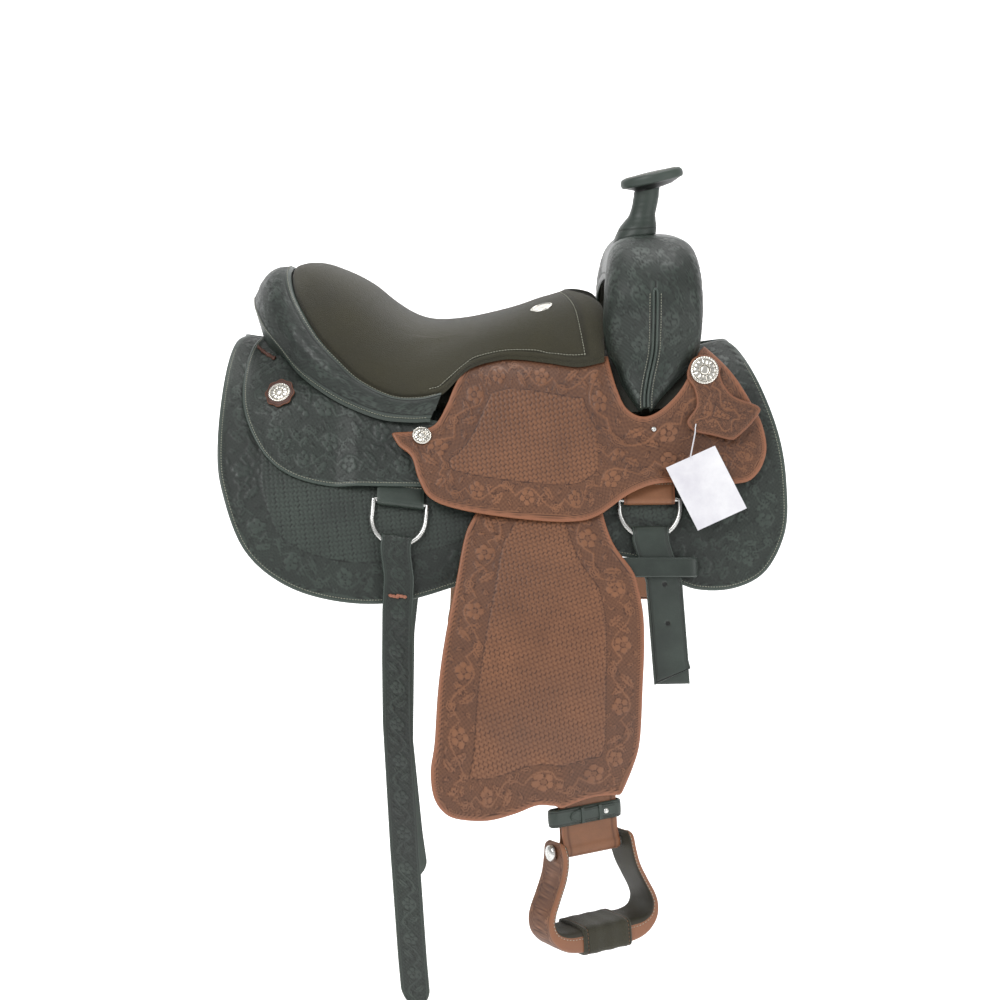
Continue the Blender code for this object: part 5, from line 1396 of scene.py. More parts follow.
def leather_bights():
    """Fixed end of each leather, let into the channel across the tree bar."""
    across = np.linspace(-LEATHER_HALF, LEATHER_HALF, 13)
    layers = []
    for rise in (LEATHER_THICK, 0.0):
        rows = [barrel(PIVOT_STATION + across, girth * MM, lift * MM + rise) for girth, lift in BIGHT_LINE]
        rows += [hang(across, drop * MM, rise - LEATHER_THICK / 2) for drop in BIGHT_DROPS]
        layers.append(curve(rows, 5))
    points, faces = closed_grid(*layers)
    both("bight_finished", "leather_bight", points, faces, [TAN])


stirrup_leathers()
leather_bights()

HOBBLE_DROP = 0.432
HOBBLE_WIDTH = 0.021


def metal_material(name, light, dark, roughness):
    """Plated metal with polish marks, tarnish in the hollows and small scratches."""
    made, tree, shader = new_material(name, roughness, 1.0)
    place = tree.nodes.new("ShaderNodeTexCoord").outputs["Object"]
    tool = node(tree, "ShaderNodeAttribute", attribute_name="tool")
    parts = node(tree, "ShaderNodeSeparateXYZ", {0: tool.outputs["Vector"]})
    cloud = node(tree, "ShaderNodeTexNoise", {"Vector": place, "Scale": 90.0, "Detail": 5.0})
    stretch = node(tree, "ShaderNodeMapping", {"Vector": place, "Scale": (900.0, 60.0, 900.0)})
    marks = node(tree, "ShaderNodeTexNoise", {"Vector": stretch.outputs[0], "Scale": 1.0, "Detail": 3.0})
    plate = mix(tree, scaled(tree, cloud.outputs[0], 0.0, 0.35, 0.35, 0.75), light, dark)
    tree.links.new(mix(tree, parts.outputs[0], plate, dark), shader.inputs["Base Color"])
    tree.links.new(scaled(tree, marks.outputs[0], roughness - 0.06, roughness + 0.14, 0.3, 0.7),
                   shader.inputs["Roughness"])
    bump = node(tree, "ShaderNodeBump",
                {"Strength": 0.05, "Distance": 0.0005, "Height": marks.outputs[0]})
    tree.links.new(bump.outputs[0], shader.inputs["Normal"])
    return made


STEEL = metal_material("steel", (0.66, 0.66, 0.64), (0.34, 0.34, 0.33), 0.26)


def frame_place(origin, side, down, outward):
    """Placement of across, down and lift in a flat frame."""
    def place(s, v, lift):
        s, v, lift = np.broadcast_arrays(*(np.asarray(value, float) for value in (s, v, lift)))
        return origin + side * s[..., None] + down * v[..., None] + outward * lift[..., None]
    return place


BAND_ROWS = 15
BAND_SIDES = 132


def band_mesh(place, low_v, high_v, centre, half, low, high, wall, bulge, flute=0.0):
    """Flat loop round a strap: straight faces, rounded ends, creased by its edges, open top and bottom."""
    rows, sides = BAND_ROWS, BAND_SIDES
    middle = (high + low) / 2
    quarters = (-half, -half / 2, 0, half / 2, half)
    corner = [(s, high) for s in quarters] + [(half + bulge, middle)] + [(s, low) for s in quarters[::-1]]
    corner = curve(corner + [(-half - bulge, middle), (-half, high)], 10)
    line = even_count(np.column_stack([corner, np.zeros(len(corner))]), sides + 1)[:-1, :2]
    ahead = unit(np.roll(line, -1, axis=0) - np.roll(line, 1, axis=0))
    out = np.stack([-ahead[:, 1], ahead[:, 0]], axis=1)
    out *= np.sign((out * (line - line.mean(0))).sum())
    v = np.linspace(low_v, high_v, rows)
    near = np.minimum(v - low_v, high_v - v)
    roll = 0.8 * wall * round_off(near, 1.4 * MM)
    crease = line_cut(near - 2.8 * MM, 0.7 * MM)
    grow = wall - roll - 0.35 * MM * crease + flute * np.sin(np.pi * (v - low_v) / (high_v - low_v))
    outer = line[None] + out[None] * grow[:, None, None]
    inner = line[None] + out[None] * (roll * 0.4)[:, None, None]
    points = np.concatenate([place(centre + g[..., 0], v[:, None] + 0 * g[..., 0], g[..., 1]).reshape(-1, 3)
                             for g in (outer, inner)])
    # Creases are marked dark as painted shade; edges are marked lighter as wear and painted highlight.
    dark = np.repeat(crease * 0.8, sides)
    marks = np.stack([dark, np.repeat(fade(near, 2 * MM) * 0.7, sides), 1 - dark], axis=1)
    return points, double_wall(rows, sides), plain_inside(marks)


HOBBLE_TIP = -0.55
HOBBLE_END_HALF = 7.4 * MM


def squared(sides, power):
    """Loop of a rounded square, from -1 to 1 both ways."""
    turn = np.arange(sides) * math.tau / sides
    c, s = np.cos(turn), np.sin(turn)
    return np.stack([np.sign(c) * np.abs(c) ** power, np.sign(s) * np.abs(s) ** power], axis=1)


def hobbles():
    """Hobble strap: a green strap round the leathers, its end pushed through a keeper and a stud."""
    low = RETURN_LIFT - LEATHER_THICK / 2 - GAP
    high = LEATHER_THICK / 2 + GAP
    face = high + 2.5 * MM
    loop = band_mesh(hang, HOBBLE_DROP - HOBBLE_WIDTH / 2, HOBBLE_DROP + HOBBLE_WIDTH / 2, -4 * MM, 0.0415,
                     low, high, 2.5 * MM, 4.5 * MM, flute=0.5 * MM)
    a, b = np.meshgrid(np.linspace(-1, 1, 61), np.linspace(-1, 1, 17), indexing="ij")
    round_tip = np.sqrt(np.clip(1 - ((HOBBLE_TIP - a) / (1 + HOBBLE_TIP)) ** 2, 0, 1))
    half = np.where(a < HOBBLE_TIP, round_tip, 1) * HOBBLE_END_HALF
    across = 2 * MM + a * 0.030
    drop = HOBBLE_DROP + b * half
    near = (1 - np.abs(b)) * half
    crease = line_cut(near - 1.9 * MM, 0.6 * MM)
    rise = 2.4 * MM - 0.35 * MM * crease - 0.8 * MM * (1 - np.clip(near / (1.1 * MM), 0, 1)) ** 2
    end, end_faces = closed_grid(hang(across, drop, face + rise), hang(across, drop, face + 0.3 * MM))
    # The crease is marked dark as painted shade; the edge is marked lighter as wear and painted highlight.
    end_marks = np.stack([crease * 0.8, fade(near, 1.5 * MM) * 0.7, 1 - crease], axis=2).reshape(-1, 3)
    points, faces, marks = loop
    faces = faces + [tuple(k + len(points) for k in corners) for corners in end_faces]
    both("hobble_creased", "hobble_strap", np.concatenate([points, end]), faces, [GREEN],
         np.concatenate([marks, plain_inside(end_marks)]))
    bodies = bodies_of("hobble_strap")
    down, side, outward = hang_turn(HOBBLE_DROP)
    c, d = squared(32, 2 / 5).T
    for name, centre in (("hobble_keeper", -12 * MM), ("hobble_loop", 12 * MM)):
        keeper = hang(centre, HOBBLE_DROP + c * 9.2 * MM, face + 1.6 * MM + d * 1.9 * MM)
        middle = keeper.mean(0)
        loops = [keeper + side * offset for offset in (-2.2 * MM, -1.4 * MM, 1.4 * MM, 2.2 * MM)]
        for end_loop in (0, 3):
            loops[end_loop] = middle + (loops[end_loop] - middle) * 0.97
        points, faces = loft(loops)
        both(name, None, points, faces, [GREEN], bodies=bodies)
    stud = frame_place(hang(20 * MM, HOBBLE_DROP, face), side, down, outward)
    profile = [(0.1, 3.6), (2.4, 3.3), (3.3, 2.6), (3.4, 1.9), (1.6, 1.5), (1.5, 0.2)]
    points, faces, marks = revolved(profile, stud, 24)
    both("hobble_stud", None, points, faces, [STEEL], marks, bodies=bodies)


def revolved(profile, place, sides, dark=None, petals=0, swing=0.0, stretch=1.0):
    """Closed solid turned about the lift axis of a frame, from radius and height pairs in millimetres."""
    loops = []
    marks = []
    turn = np.arange(sides) * math.tau / sides
    for k, (radius, height) in enumerate(profile):
        reach = radius * (1 + swing * np.cos(petals * turn))
        loops.append(place(reach * MM * stretch * np.cos(turn), reach * MM * np.sin(turn), height * MM))
        marks.append(np.tile([dark[k] if dark else 0.0, 0.0, 1.0], (sides, 1)))
    points, faces = loft(loops)
    return points, faces, np.concatenate(marks)


hobbles()

PLATE_HALF = 34.5 * MM
SLEEVE_HALF = 0.015
SLEEVE_DROP = HOBBLE_DROP - HOBBLE_WIDTH / 2 - 0.0405 - SLEEVE_HALF


def buckles():
    """Quick-change buckle behind the fender: its plate and the sleeve that slides over it."""
    near = RETURN_LIFT - LEATHER_THICK / 2 - 0.5 * MM
    rows = SLEEVE_DROP + np.linspace(-0.016, 0.032, 25)
    columns = np.linspace(-PLATE_HALF, PLATE_HALF, 25)
    v, s = np.meshgrid(rows, columns, indexing="ij")
    edge = np.minimum(np.minimum(v - rows[0], rows[-1] - v), PLATE_HALF - np.abs(s))
    roll = 0.5 * MM * (1 - np.clip(edge / (1.5 * MM), 0, 1)) ** 2
    points, faces = closed_grid(hang(s, v, near - roll), hang(s, v, near - 1.5 * MM + roll))
    both("plate_rounded", "blevins_plate", points, faces, [STEEL])
    points, faces, marks = band_mesh(hang, SLEEVE_DROP - SLEEVE_HALF, SLEEVE_DROP + SLEEVE_HALF, 0.0,
                                     LEATHER_HALF + 0.4 * MM, near - 2.7 * MM, LEATHER_THICK / 2 + 1.2 * MM,
                                     0.9 * MM, 1.2 * MM)
    both("sleeve_rolled", "blevins_sleeve", points, faces, [STEEL], marks)


buckles()

# Stirrups
# Bent wood covered in tan leather, tooled outside, with a dark leather lining.
# A suede tread is sewn round the bottom, and a steel bolt through the top hangs it from the leather.

LINING_AND_GAP_SHADE = leather_material(
    "lining_leather_and_gap_shade", (0.024, 0.024, 0.014), (0.013, 0.013, 0.008), (0.004, 0.004, 0.003),
    (0.040, 0.030, 0.016), 0.6, grain=0.3)

STIRRUP_LEG = [
    # across, down, thickness, depth
    (-46, -12, 7, 32), (-46, -5, 8, 44), (-46.5, 9, 8, 50), (-51, 28, 8, 50), (-60, 48, 8, 50),
    (-68.5, 66, 8.5, 51), (-71, 79, 10, 52), (-66.5, 92, 15, 54), (-53, 101, 23, 56), (-34, 104, 28, 56),
]
BOLT_POINT = hang(0.0, BOLT_DROP, BOLT_LIFT)
BOLT_DOWN, BOLT_SIDE, BOLT_OUT = hang_turn(BOLT_DROP)
stirrup_place = frame_place(BOLT_POINT, BOLT_SIDE, BOLT_DOWN, BOLT_OUT)


TREAD_HALF = 33 * MM


def stirrups():
    leg = np.array(STIRRUP_LEG, float)
    path = curve(np.concatenate([leg, leg[-1:] * [0, 1, 1, 1], leg[::-1] * [-1, 1, 1, 1]]), 12) * MM
    along = unit(np.gradient(path[:, :2], axis=0))
    sides = 72
    section = squared(sides, 2 / 7)
    loops = []
    marks = []
    run = lengths_along(path[:, :2])
    for k, (s, v, thick, depth) in enumerate(path):
        nose = min(1.0, 0.35 + min(k, len(path) - 1 - k) / 6)
        across = section[:, 1] * thick / 2 * nose
        deep = section[:, 0] * depth / 2 * (0.9 + 0.1 * nose)
        outside = np.clip((-section[:, 1] - 0.75) / 0.2, 0, 1)
        near = depth / 2 - np.abs(deep)
        rib, painted_cut_shade = scrollwork(np.full(sides, run[k]) + 0.01, deep + 0.013, 0.044, 0.027)
        worked = outside * (near > 5 * MM)
        crease = line_cut(near - 4 * MM, 0.8 * MM) * outside
        height = (rib * worked * 0.6 - 0.4 * crease) * MM
        off = across + height * np.sign(section[:, 1])
        loops.append(stirrup_place(s + along[k, 1] * off, v - along[k, 0] * off, deep))
        # Marks: tooling cuts and the crease are painted darker as shade; the lined inside is marked lighter
        # as wear and painted highlight.
        marks.append(np.stack([np.clip(np.maximum(painted_cut_shade * worked, crease), 0, 1), 0.3 * (1 - outside),
                               1 - crease], axis=1))
    points, faces = loft(loops)
    outside = (section[:, 1] + np.roll(section[:, 1], -1, axis=0)) / 2 < 0.55
    picks = [0 if outside[k % sides] else 1 for k in range(len(faces) - 2)] + [0, 0]
    both("stirrup_covered", "stirrup", points, faces, [TAN, LINING_AND_GAP_SHADE], np.concatenate(marks), picks)
    for sign in (-1, 1):
        seam = []
        for k in range(8, len(path) - 8):
            s, v, thick, depth = path[k]
            off = thick / 2 * 0.30
            seam.append(stirrup_place(s + along[k, 1] * off, v - along[k, 0] * off,
                                      sign * (depth / 2 + 0.1 * MM)))
        stitched_pair("stirrup_seam_" + ("front" if sign > 0 else "back"), [np.array(seam)],
                      bodies_of("stirrup"), pitch=4.2 * MM)


def treads():
    _, middle, thick, depth = np.array(STIRRUP_LEG[-1]) * MM
    high = thick / 2 + 0.5 * MM
    deep = depth / 2 + 0.5 * MM
    sides = 96
    section = squared(sides, 2 / 6)

    def wrap(s, grow):
        return stirrup_place(s, middle + section[:, 1] * (high + grow), section[:, 0] * (deep + grow))
    rows = np.linspace(-TREAD_HALF, TREAD_HALF, 41)
    near = TREAD_HALF - np.abs(rows)
    roll = 2.4 * MM * round_off(near, 2.5 * MM)
    groove = line_cut(near - 5 * MM, 1.0 * MM)
    soft = 0.25 * MM * np.sin(rows * 300)
    grow = 3.0 * MM - roll - 0.7 * MM * groove + soft
    loops = [wrap(s, more) for s, more in zip(rows, grow)] + [wrap(s, 0) for s in rows]
    # The groove is marked dark as painted shade; rolled edges are marked lighter as wear and painted
    # highlight.
    marks = np.repeat(np.stack([groove * 0.8, roll / (5 * MM), 1 - groove], axis=1), sides, axis=0)
    both("tread_sewn", "stirrup_tread", np.concatenate(loops), double_wall(len(rows), sides), [SUEDE],
         plain_inside(marks))
    laces = []
    for s in (5 * MM - TREAD_HALF, TREAD_HALF - 5 * MM):
        line = wrap(s, 2.7 * MM)
        laces.append(np.concatenate([line, line[:1]]))
    stitched_pair("tread_seam", laces, bodies_of("stirrup"), pitch=4.6 * MM, length=3.4 * MM, thread=FLESH)


def bolts():
    head = [(0.1, -57.6), (4.5, -57.4), (8.6, -56.2), (9.5, -54.6), (9.5, -51.9), (9.2, -51.3),
            (5.0, -51.3)]
    profile = head + [(radius, -height) for radius, height in head[::-1]]
    place = frame_place(BOLT_POINT, BOLT_DOWN, BOLT_OUT, BOLT_SIDE)
    points, faces, marks = revolved(profile, place, 40)
    both("bolt_domed", "stirrup_bolt", points, faces, [STEEL], marks)


stirrups()
treads()
bolts()

# Rigging
# Straps doubled round the bar of each steel dee and sewn down under the jockeys.

DEE_WIRE = 2.8 * MM
FRONT_DEE = (0.181, 0.228, 0.080, 0.046)
REAR_DEE = (-0.119, 0.247, 0.070, 0.052)
WIRE_FOLD = DEE_WIRE + 0.5 * MM
FOLD_THICK = 2.4 * MM
BAR_LIFT = STRAP_IN + WIRE_FOLD + FOLD_THICK
LAYER = STRAP_THICK / 2 + 0.3 * MM
BOW_CLEAR = 12.5 * MM
BILLET_LEAN = 0.017


def dee_strap(name, node_stem, dee, half, top, material):
    """Strap that goes down, round the bar of its dee and back up over itself."""
    station, bar = dee[0], dee[1]
    join = bar - 0.0165
    low = STRAP_IN + FOLD_THICK / 2
    high = STRAP_OUT - FOLD_THICK / 2
    fold = turned_path(bar, BAR_LIFT, WIRE_FOLD + FOLD_THICK / 2, np.arange(-90, 91, 10))
    path = even(np.concatenate([[(top, low), (join, low)], fold, [(join, high), (top, high)]]), 1.6 * MM)
    girth, lift = path.T
    rows = barrel(station, girth, lift)
    side = unit(barrel(station + half, girth, lift) - barrel(station - half, girth, lift))
    face = unit(np.cross(side, np.gradient(rows, axis=0)))
    face = face * (1 if face[-1, 1] < 0 else -1)
    points, faces, marks = strap_mesh(rows, half, face, FOLD_THICK, 25, creased(3 * MM), side)
    both(name, node_stem, points, faces, [material], marks)
    seams = []
    reach = half - 4.2 * MM
    for sign in (-1, 1):
        keep = path[-int(len(path) * 0.30):]
        seams.append(barrel(station + sign * reach, keep[:, 0], keep[:, 1] + FOLD_THICK / 2))
    across = np.linspace(-reach, reach, 20)
    seams.append(barrel(station + across, join - 2 * MM, high + FOLD_THICK / 2))
    stitched_pair(name + "_seam", seams)


dee_strap("rigging_sewn", "rigging", FRONT_DEE, 0.031, 0.136, TAN)
dee_strap("rear_strap_sewn", "rear_dee_strap", REAR_DEE, 0.028, 0.168, GREEN)


def dee_frame(dee):
    station, girth, _, height = dee
    centre = barrel(station, girth, BAR_LIFT)
    side = unit(barrel(station + 0.02, girth, BAR_LIFT) - barrel(station - 0.02, girth, BAR_LIFT))
    bow = barrel(station, girth + height, SKIRT_OUT + GAP + STRAP_THICK + WIRE_FOLD)
    down = bow - centre
    down = unit(down - side * (down * side).sum())
    return centre, side, down, facing(side, down)


def dee_ring(name, node_stem, dee):
    """Cast steel dee: a straight bar closed by a round bow."""
    centre, side, down, _ = dee_frame(dee)
    half = dee[2] / 2 - DEE_WIRE
    shoulder = dee[3] - half
    line = [centre + side * half * k for k in np.linspace(-1, 1, 25)]
    for angle in np.radians(np.arange(0, 181, 4)):
        line.append(centre + side * half * math.cos(angle) + down * (shoulder + half * math.sin(angle)))
    points, faces = tube(np.array(line), DEE_WIRE, 16, closed=True)
    both(name, node_stem, points, faces, [STEEL])


dee_ring("front_dee_cast", "front_dee", FRONT_DEE)
dee_ring("rear_dee_cast", "rear_dee", REAR_DEE)

# Billets and latigo
# Green off billet held by a keeper, tan latigo on the near side, and tooled rear billets.
# Each is folded over the bow of its dee; the rear billets are laced where they are doubled.

LACE = fibre_material("lace", (0.42, 0.19, 0.12), (0.24, 0.07, 0.04), 0.6, 700.0, 0.3, 0.0)


def bow_place(dee, half_width):
    """Where a strap's fold sits in the bow of a dee."""
    centre, _, down, _ = dee_frame(dee)
    half = dee[2] / 2 - DEE_WIRE
    inside = math.sqrt((half - DEE_WIRE) ** 2 - half_width ** 2)
    return centre + down * (dee[3] - half + inside - 0.9 * MM + WIRE_FOLD)


def doubled(dee, centres, spread, back, half_of, relief, columns, slant=0.0):
    """Strap looped over a dee: up behind it for some of its centres, over, and down in front."""
    _, side, down, outward = dee_frame(dee)
    centres = np.array(centres)
    ahead = np.concatenate([centres[1:], centres[-1:]]) - np.concatenate([centres[:1], centres[:-1]])
    face = unit(np.cross(ahead, side))
    face = face * np.where((face * outward).sum(1, keepdims=True) > 0, 1, -1)
    face[0] = outward
    spots = [(centres[k] - face[k] * spread[k], -face[k]) for k in range(back - 1, 0, -1)]
    for angle in np.radians(np.arange(-90, 91, 15)):
        turn = outward * math.sin(angle) - down * math.cos(angle)
        spots.append((centres[0] + turn * spread[0], turn))
    spots += [(centres[k] + face[k] * spread[k], face[k]) for k in range(1, len(centres))]
    line = np.array([np.concatenate([point, turn * MM]) for point, turn in spots])
    line = even(curve(even(line, 9 * MM), 4), 1.3 * MM)
    rows = line[:, :3]
    to_end = lengths_along(rows[::-1])[::-1]
    points, faces, marks = strap_mesh(rows, half_of(to_end), unit(line[:, 3:]), STRAP_THICK, columns, relief,
                                      np.tile(side, (len(rows), 1)))
    share = np.outer(fade(to_end, 0.03), np.linspace(0, 1, columns)).ravel()
    points[:, 2] += slant * np.concatenate([share, share])
    return points, faces, marks


BILLET_HALF = 22 * MM
REAR_BILLET_HALF = 18 * MM
REAR_BILLET_PATH = [(-1, -1, 60), (-1, 1, 140), (6, 6, 300), (14, 10, 440), (18, 11, 492), (19, 11, 506)]
NEAR_LEAN = np.array([-9.0, -18.0, -28.0, -23.0, -20.0, -19.0])


def front_billets():
    station, girth, _, height = FRONT_DEE
    half = BILLET_HALF
    down = dee_frame(FRONT_DEE)[2]
    bow = bow_place(FRONT_DEE, half)
    edge = barrel(station + BILLET_LEAN / 2, girth + height + 0.024, 26.8 * MM)
    past = barrel(station + BILLET_LEAN, girth + height + 0.048, 27.0 * MM)
    holes = ((0.0, 0.124, 3.4 * MM), (0.0, 0.076, 3.4 * MM))
    for name, node_name, material, drops, cuts in (
            ("off_billet_creased", "off_billet", GREEN, (0.045, 0.090, 0.128), holes),
            ("latigo_creased", "latigo", TAN, (0.040, 0.080, 0.112), ())):
        centres = [bow, bow + down * BOW_CLEAR, edge, past]
        centres += [past + np.array([0.09 * drop, -0.05 * drop, -drop]) for drop in drops]
        spread = [WIRE_FOLD + STRAP_THICK / 2] * 2 + [LAYER] * (len(centres) - 2)
        relief = creased(2.6 * MM, double=True, holes=cuts)
        points, faces, marks = doubled(FRONT_DEE, centres, spread, len(centres), lambda to_end: half, relief,
                                       57, slant=0.020)
        if node_name == "latigo":
            points = mirrored(points)
        piece(name, points, faces, [material], [node_name], marks)
    _, level, lower, off_hide = barrel_frame(station + BILLET_LEAN / 2, girth + height + 0.024, 26.8 * MM)
    reach = LAYER + STRAP_THICK / 2 + GAP + 1.8 * MM
    points, faces, marks = band_mesh(frame_place(edge, level, lower, off_hide), -0.003, 0.021, 0.0, 0.044,
                                     1 * MM - reach, reach, 2.4 * MM, 3.0 * MM)
    piece("billet_keeper_creased", points, faces, [GREEN], ["billet_keeper"], marks)


def scrolled(edge_line, band, period):
    """Relief of a tooled strap: small scrolls between two creased lines."""
    def relief(s, v, edge, ends):
        near = np.minimum(edge, ends)
        rib, painted_cut_shade = scrollwork(v, s + band / 2, period, band)
        crease = line_cut(near - edge_line, 0.7 * MM)
        worked = near > edge_line + 0.8 * MM
        dark = np.clip(np.maximum(painted_cut_shade * worked, crease), 0, 1)
        height = rib * worked * 0.75 - 0.45 * crease
        # Cuts and creases are marked dark as painted shade; edges are marked lighter as wear and painted
        # highlight.
        edge_wear_and_highlight = fade(edge, 2.4 * MM) * 0.8
        return height * MM, np.stack([dark, edge_wear_and_highlight, 1 - crease], axis=-1)
    return relief


def rear_billets():
    station = REAR_DEE[0]
    half = REAR_BILLET_HALF
    down = dee_frame(REAR_DEE)[2]
    bow = bow_place(REAR_DEE, half)
    edge = barrel(station - 0.001, 0.335, 27.0 * MM)
    past = barrel(station - 0.003, 0.372, 26.6 * MM)
    tail = np.array(REAR_BILLET_PATH, float)
    spread = [WIRE_FOLD + STRAP_THICK / 2] * 2 + [LAYER] * 3 + [0.0] * (len(tail) - 1)

    def half_of(to_end):
        tip = fade(to_end, 0.026)
        return half * (1 - 0.68 * tip ** 2)
    relief = scrolled(2.6 * MM, 0.028, 0.046)
    for side, leans in (("off", 0.0), ("near", NEAR_LEAN)):
        centres = [bow, bow + down * BOW_CLEAR, edge, past]
        bends = np.stack([tail[:, 0] + leans, tail[:, 1], -tail[:, 2]], axis=1) * MM
        centres += [past + bend for bend in bends]
        points, faces, marks = doubled(REAR_DEE, centres, spread, 3, half_of, relief, 33)
        if side == "near":
            points = mirrored(points)
        piece("rear_billet_tooled_" + side, points, faces, [GREEN], ["rear_billet_" + side], marks)
        laces = []
        for s in (-0.0085, 0.0005):
            spot = (past + edge) / 2 + np.array([s, -0.0050, 0])
            line = np.array([spot, spot + np.array([0.0075, 0, -0.0015])])
            laces.append(mirrored(line) if side == "near" else line)
        stitched("rear_billet_lace_" + side, laces, BODY["rear_billet_" + side], pitch=3.6 * MM,
                 length=6.0 * MM, width=4.2 * MM, thread=LACE)


front_billets()
rear_billets()

# Silver, keepers and badge
# Engraved silver conchos hold the jockeys and the latigo keepers; the rear one has a red washer.
# The seat carries a plain oval plate with a rim.

SILVER = metal_material("silver", (0.86, 0.84, 0.78), (0.30, 0.27, 0.22), 0.16)
WASHER = leather_material(
    "washer_leather", (0.120, 0.040, 0.020), (0.060, 0.020, 0.012), (0.020, 0.006, 0.004),
    (0.150, 0.055, 0.026), 0.5)
CONCHO_SIDES = 160
CONCHO_LOBES = 32


def surface_frame(x, girth, lift_of, above):
    def at(a, b):
        return barrel(a, b, lift_of(a, b) + above)
    centre = at(x, girth)
    side = unit(at(x + 0.006, girth) - at(x - 0.006, girth))
    down = unit(at(x, girth + 0.010) - at(x, girth - 0.010))
    outward = unit(facing(side, down))
    return centre, side, unit(down - side * (down * side).sum()), outward


def concho(place, radius, base=0.0, stretch=1.0):
    """Domed disc with a roped rim, a ring of petals and a raised middle, darkened in its hollows."""
    turn = np.arange(CONCHO_SIDES) * math.tau / CONCHO_SIDES
    loops = [place(0.9 * radius * stretch * np.cos(turn), 0.9 * radius * np.sin(turn), base + 0 * turn)]
    marks = [np.zeros((CONCHO_SIDES, 3))]
    for share in np.concatenate([[1.0, 1.0], np.linspace(0.99, 0.03, 44)]):
        first = len(loops) == 1
        rope = dome(share - 0.91, 0.09) * (0.72 + 0.28 * np.cos(CONCHO_LOBES * turn + 26 * share))
        petal = dome(share - 0.60, 0.22) * np.abs(np.cos(6 * turn)) ** 0.6
        boss = dome(share, 0.30)
        ringed = line_cut(share - 0.81, 0.025) + line_cut(share - 0.34, 0.03)
        height = 1.0 + 1.7 * (1 - share ** 2) + 0.8 * rope + 0.7 * petal + 0.9 * boss - 0.5 * ringed
        height = np.where(first, 0.2, height)
        hollow = np.clip(ringed + (0.36 < share < 0.80) * (1 - petal) * 0.75
                         + (share > 0.84) * (1 - rope) * 0.5, 0, 1)
        reach = radius * share * (1 + 0.015 * np.cos(CONCHO_LOBES * turn))
        loops.append(place(reach * stretch * np.cos(turn), reach * np.sin(turn), base + height * MM))
        marks.append(np.stack([hollow, 0 * turn, 1 - hollow], axis=1))
    points, faces = loft(loops)
    return points, faces, np.concatenate(marks)


def washer(place, radius, hole, thick):
    turn = np.arange(120) * math.tau / 120
    reach = radius * (1 + 0.05 * np.cos(8 * turn))
    loops = []
    marks = []
    profile = ((0.5, 0.0), (0.97, 0.0), (1.0, 0.3), (1.0, thick - 0.5), (0.96, thick), (0.90, thick - 0.2),
               (0.86, thick), (hole, thick))
    for share, height in profile:
        loops.append(place(reach * share * np.cos(turn), reach * share * np.sin(turn), height * MM))
        # The groove ring is painted darker as shade, and the outer edge lighter as wear and painted
        # highlight.
        marks.append(np.tile([0.8 if share == 0.90 else 0.0, 0.6 if share > 0.95 else 0.0, 1.0], (120, 1)))
    points, faces = loft(loops)
    return points, faces, np.concatenate(marks)


KEEPER_THICK = 3.0 * MM
KEEPER_LINE = [
    (14, -12), (2, -19), (-12, -16), (-19, -5), (-21, 9), (-13, 22), (-10, 43), (-20, 59), (-21, 66),
    (-12, 75), (10, 80), (31, 85), (39, 82), (56, 66), (67, 51), (66, 45), (59, 41), (36, 32), (24, 18),
    (19, 4), (20, -5), (14, -12)]


def keeper_frame():
    """Flat frame of the keeper: hung from its concho and lying on the swell of the jockey below."""
    centre, side, _, _ = surface_frame(0.249, 0.093, jockey_face, 3.4 * MM)
    rest = barrel(0.249, 0.130, jockey_face(0.249, 0.130) + 1.8 * MM)
    down = unit(rest - centre)
    side = unit(side - down * (side * down).sum())
    outward = facing(side, down)
    x, w = np.meshgrid(np.arange(228, 320, 8) * MM, np.arange(88, 164, 6) * MM)
    proud = ((barrel(x, w, jockey_face(x, w)) - centre) * outward).sum(-1).max()
    return centre + outward * (proud + 0.2 * MM), side, down, outward


KEEPER_FRAME = keeper_frame()


def silver_and_keepers():
    centre, side, down, outward = KEEPER_FRAME
    place = frame_place(*KEEPER_FRAME)
    shape = outline(KEEPER_LINE, spacing=0.0015)
    relief = tooling(rim=3 * MM, band=17 * MM, period=30 * MM, depth=0.8)
    pair_of("keeper_tooled", "latigo_keeper",
            laid(shape, 1.0 * MM, place, flat_lift(0.0), flat_lift(KEEPER_THICK), relief, roll=1.2 * MM),
            [TAN, FLESH])
    for name, stem, spot, radius, base, stretch in (
            ("front_concho_cast", "front_concho",
             (centre + outward * (KEEPER_THICK + 0.5 * MM), side, down, outward), 17.0 * MM, 0.0, 1.0),
            ("seat_concho_cast", "seat_concho",
             surface_frame(-0.094, 0.1715, jockey_face, 0.8 * MM), 11.5 * MM, 0.0, 1.0),
            ("rear_concho_cast", "rear_concho",
             surface_frame(-0.266, 0.141, rear_jockey_face, 0.7 * MM), 12.5 * MM, 2.2 * MM, 1.12)):
        points, faces, marks = concho(frame_place(*spot), radius, base, stretch)
        both(name, stem, points, faces, [SILVER], marks)
        if base:
            points, faces, marks = washer(frame_place(*spot), 18 * MM, 0.6, base / MM)
            both("rear_washer", None, points, faces, [WASHER], marks, bodies=ON_SADDLE)


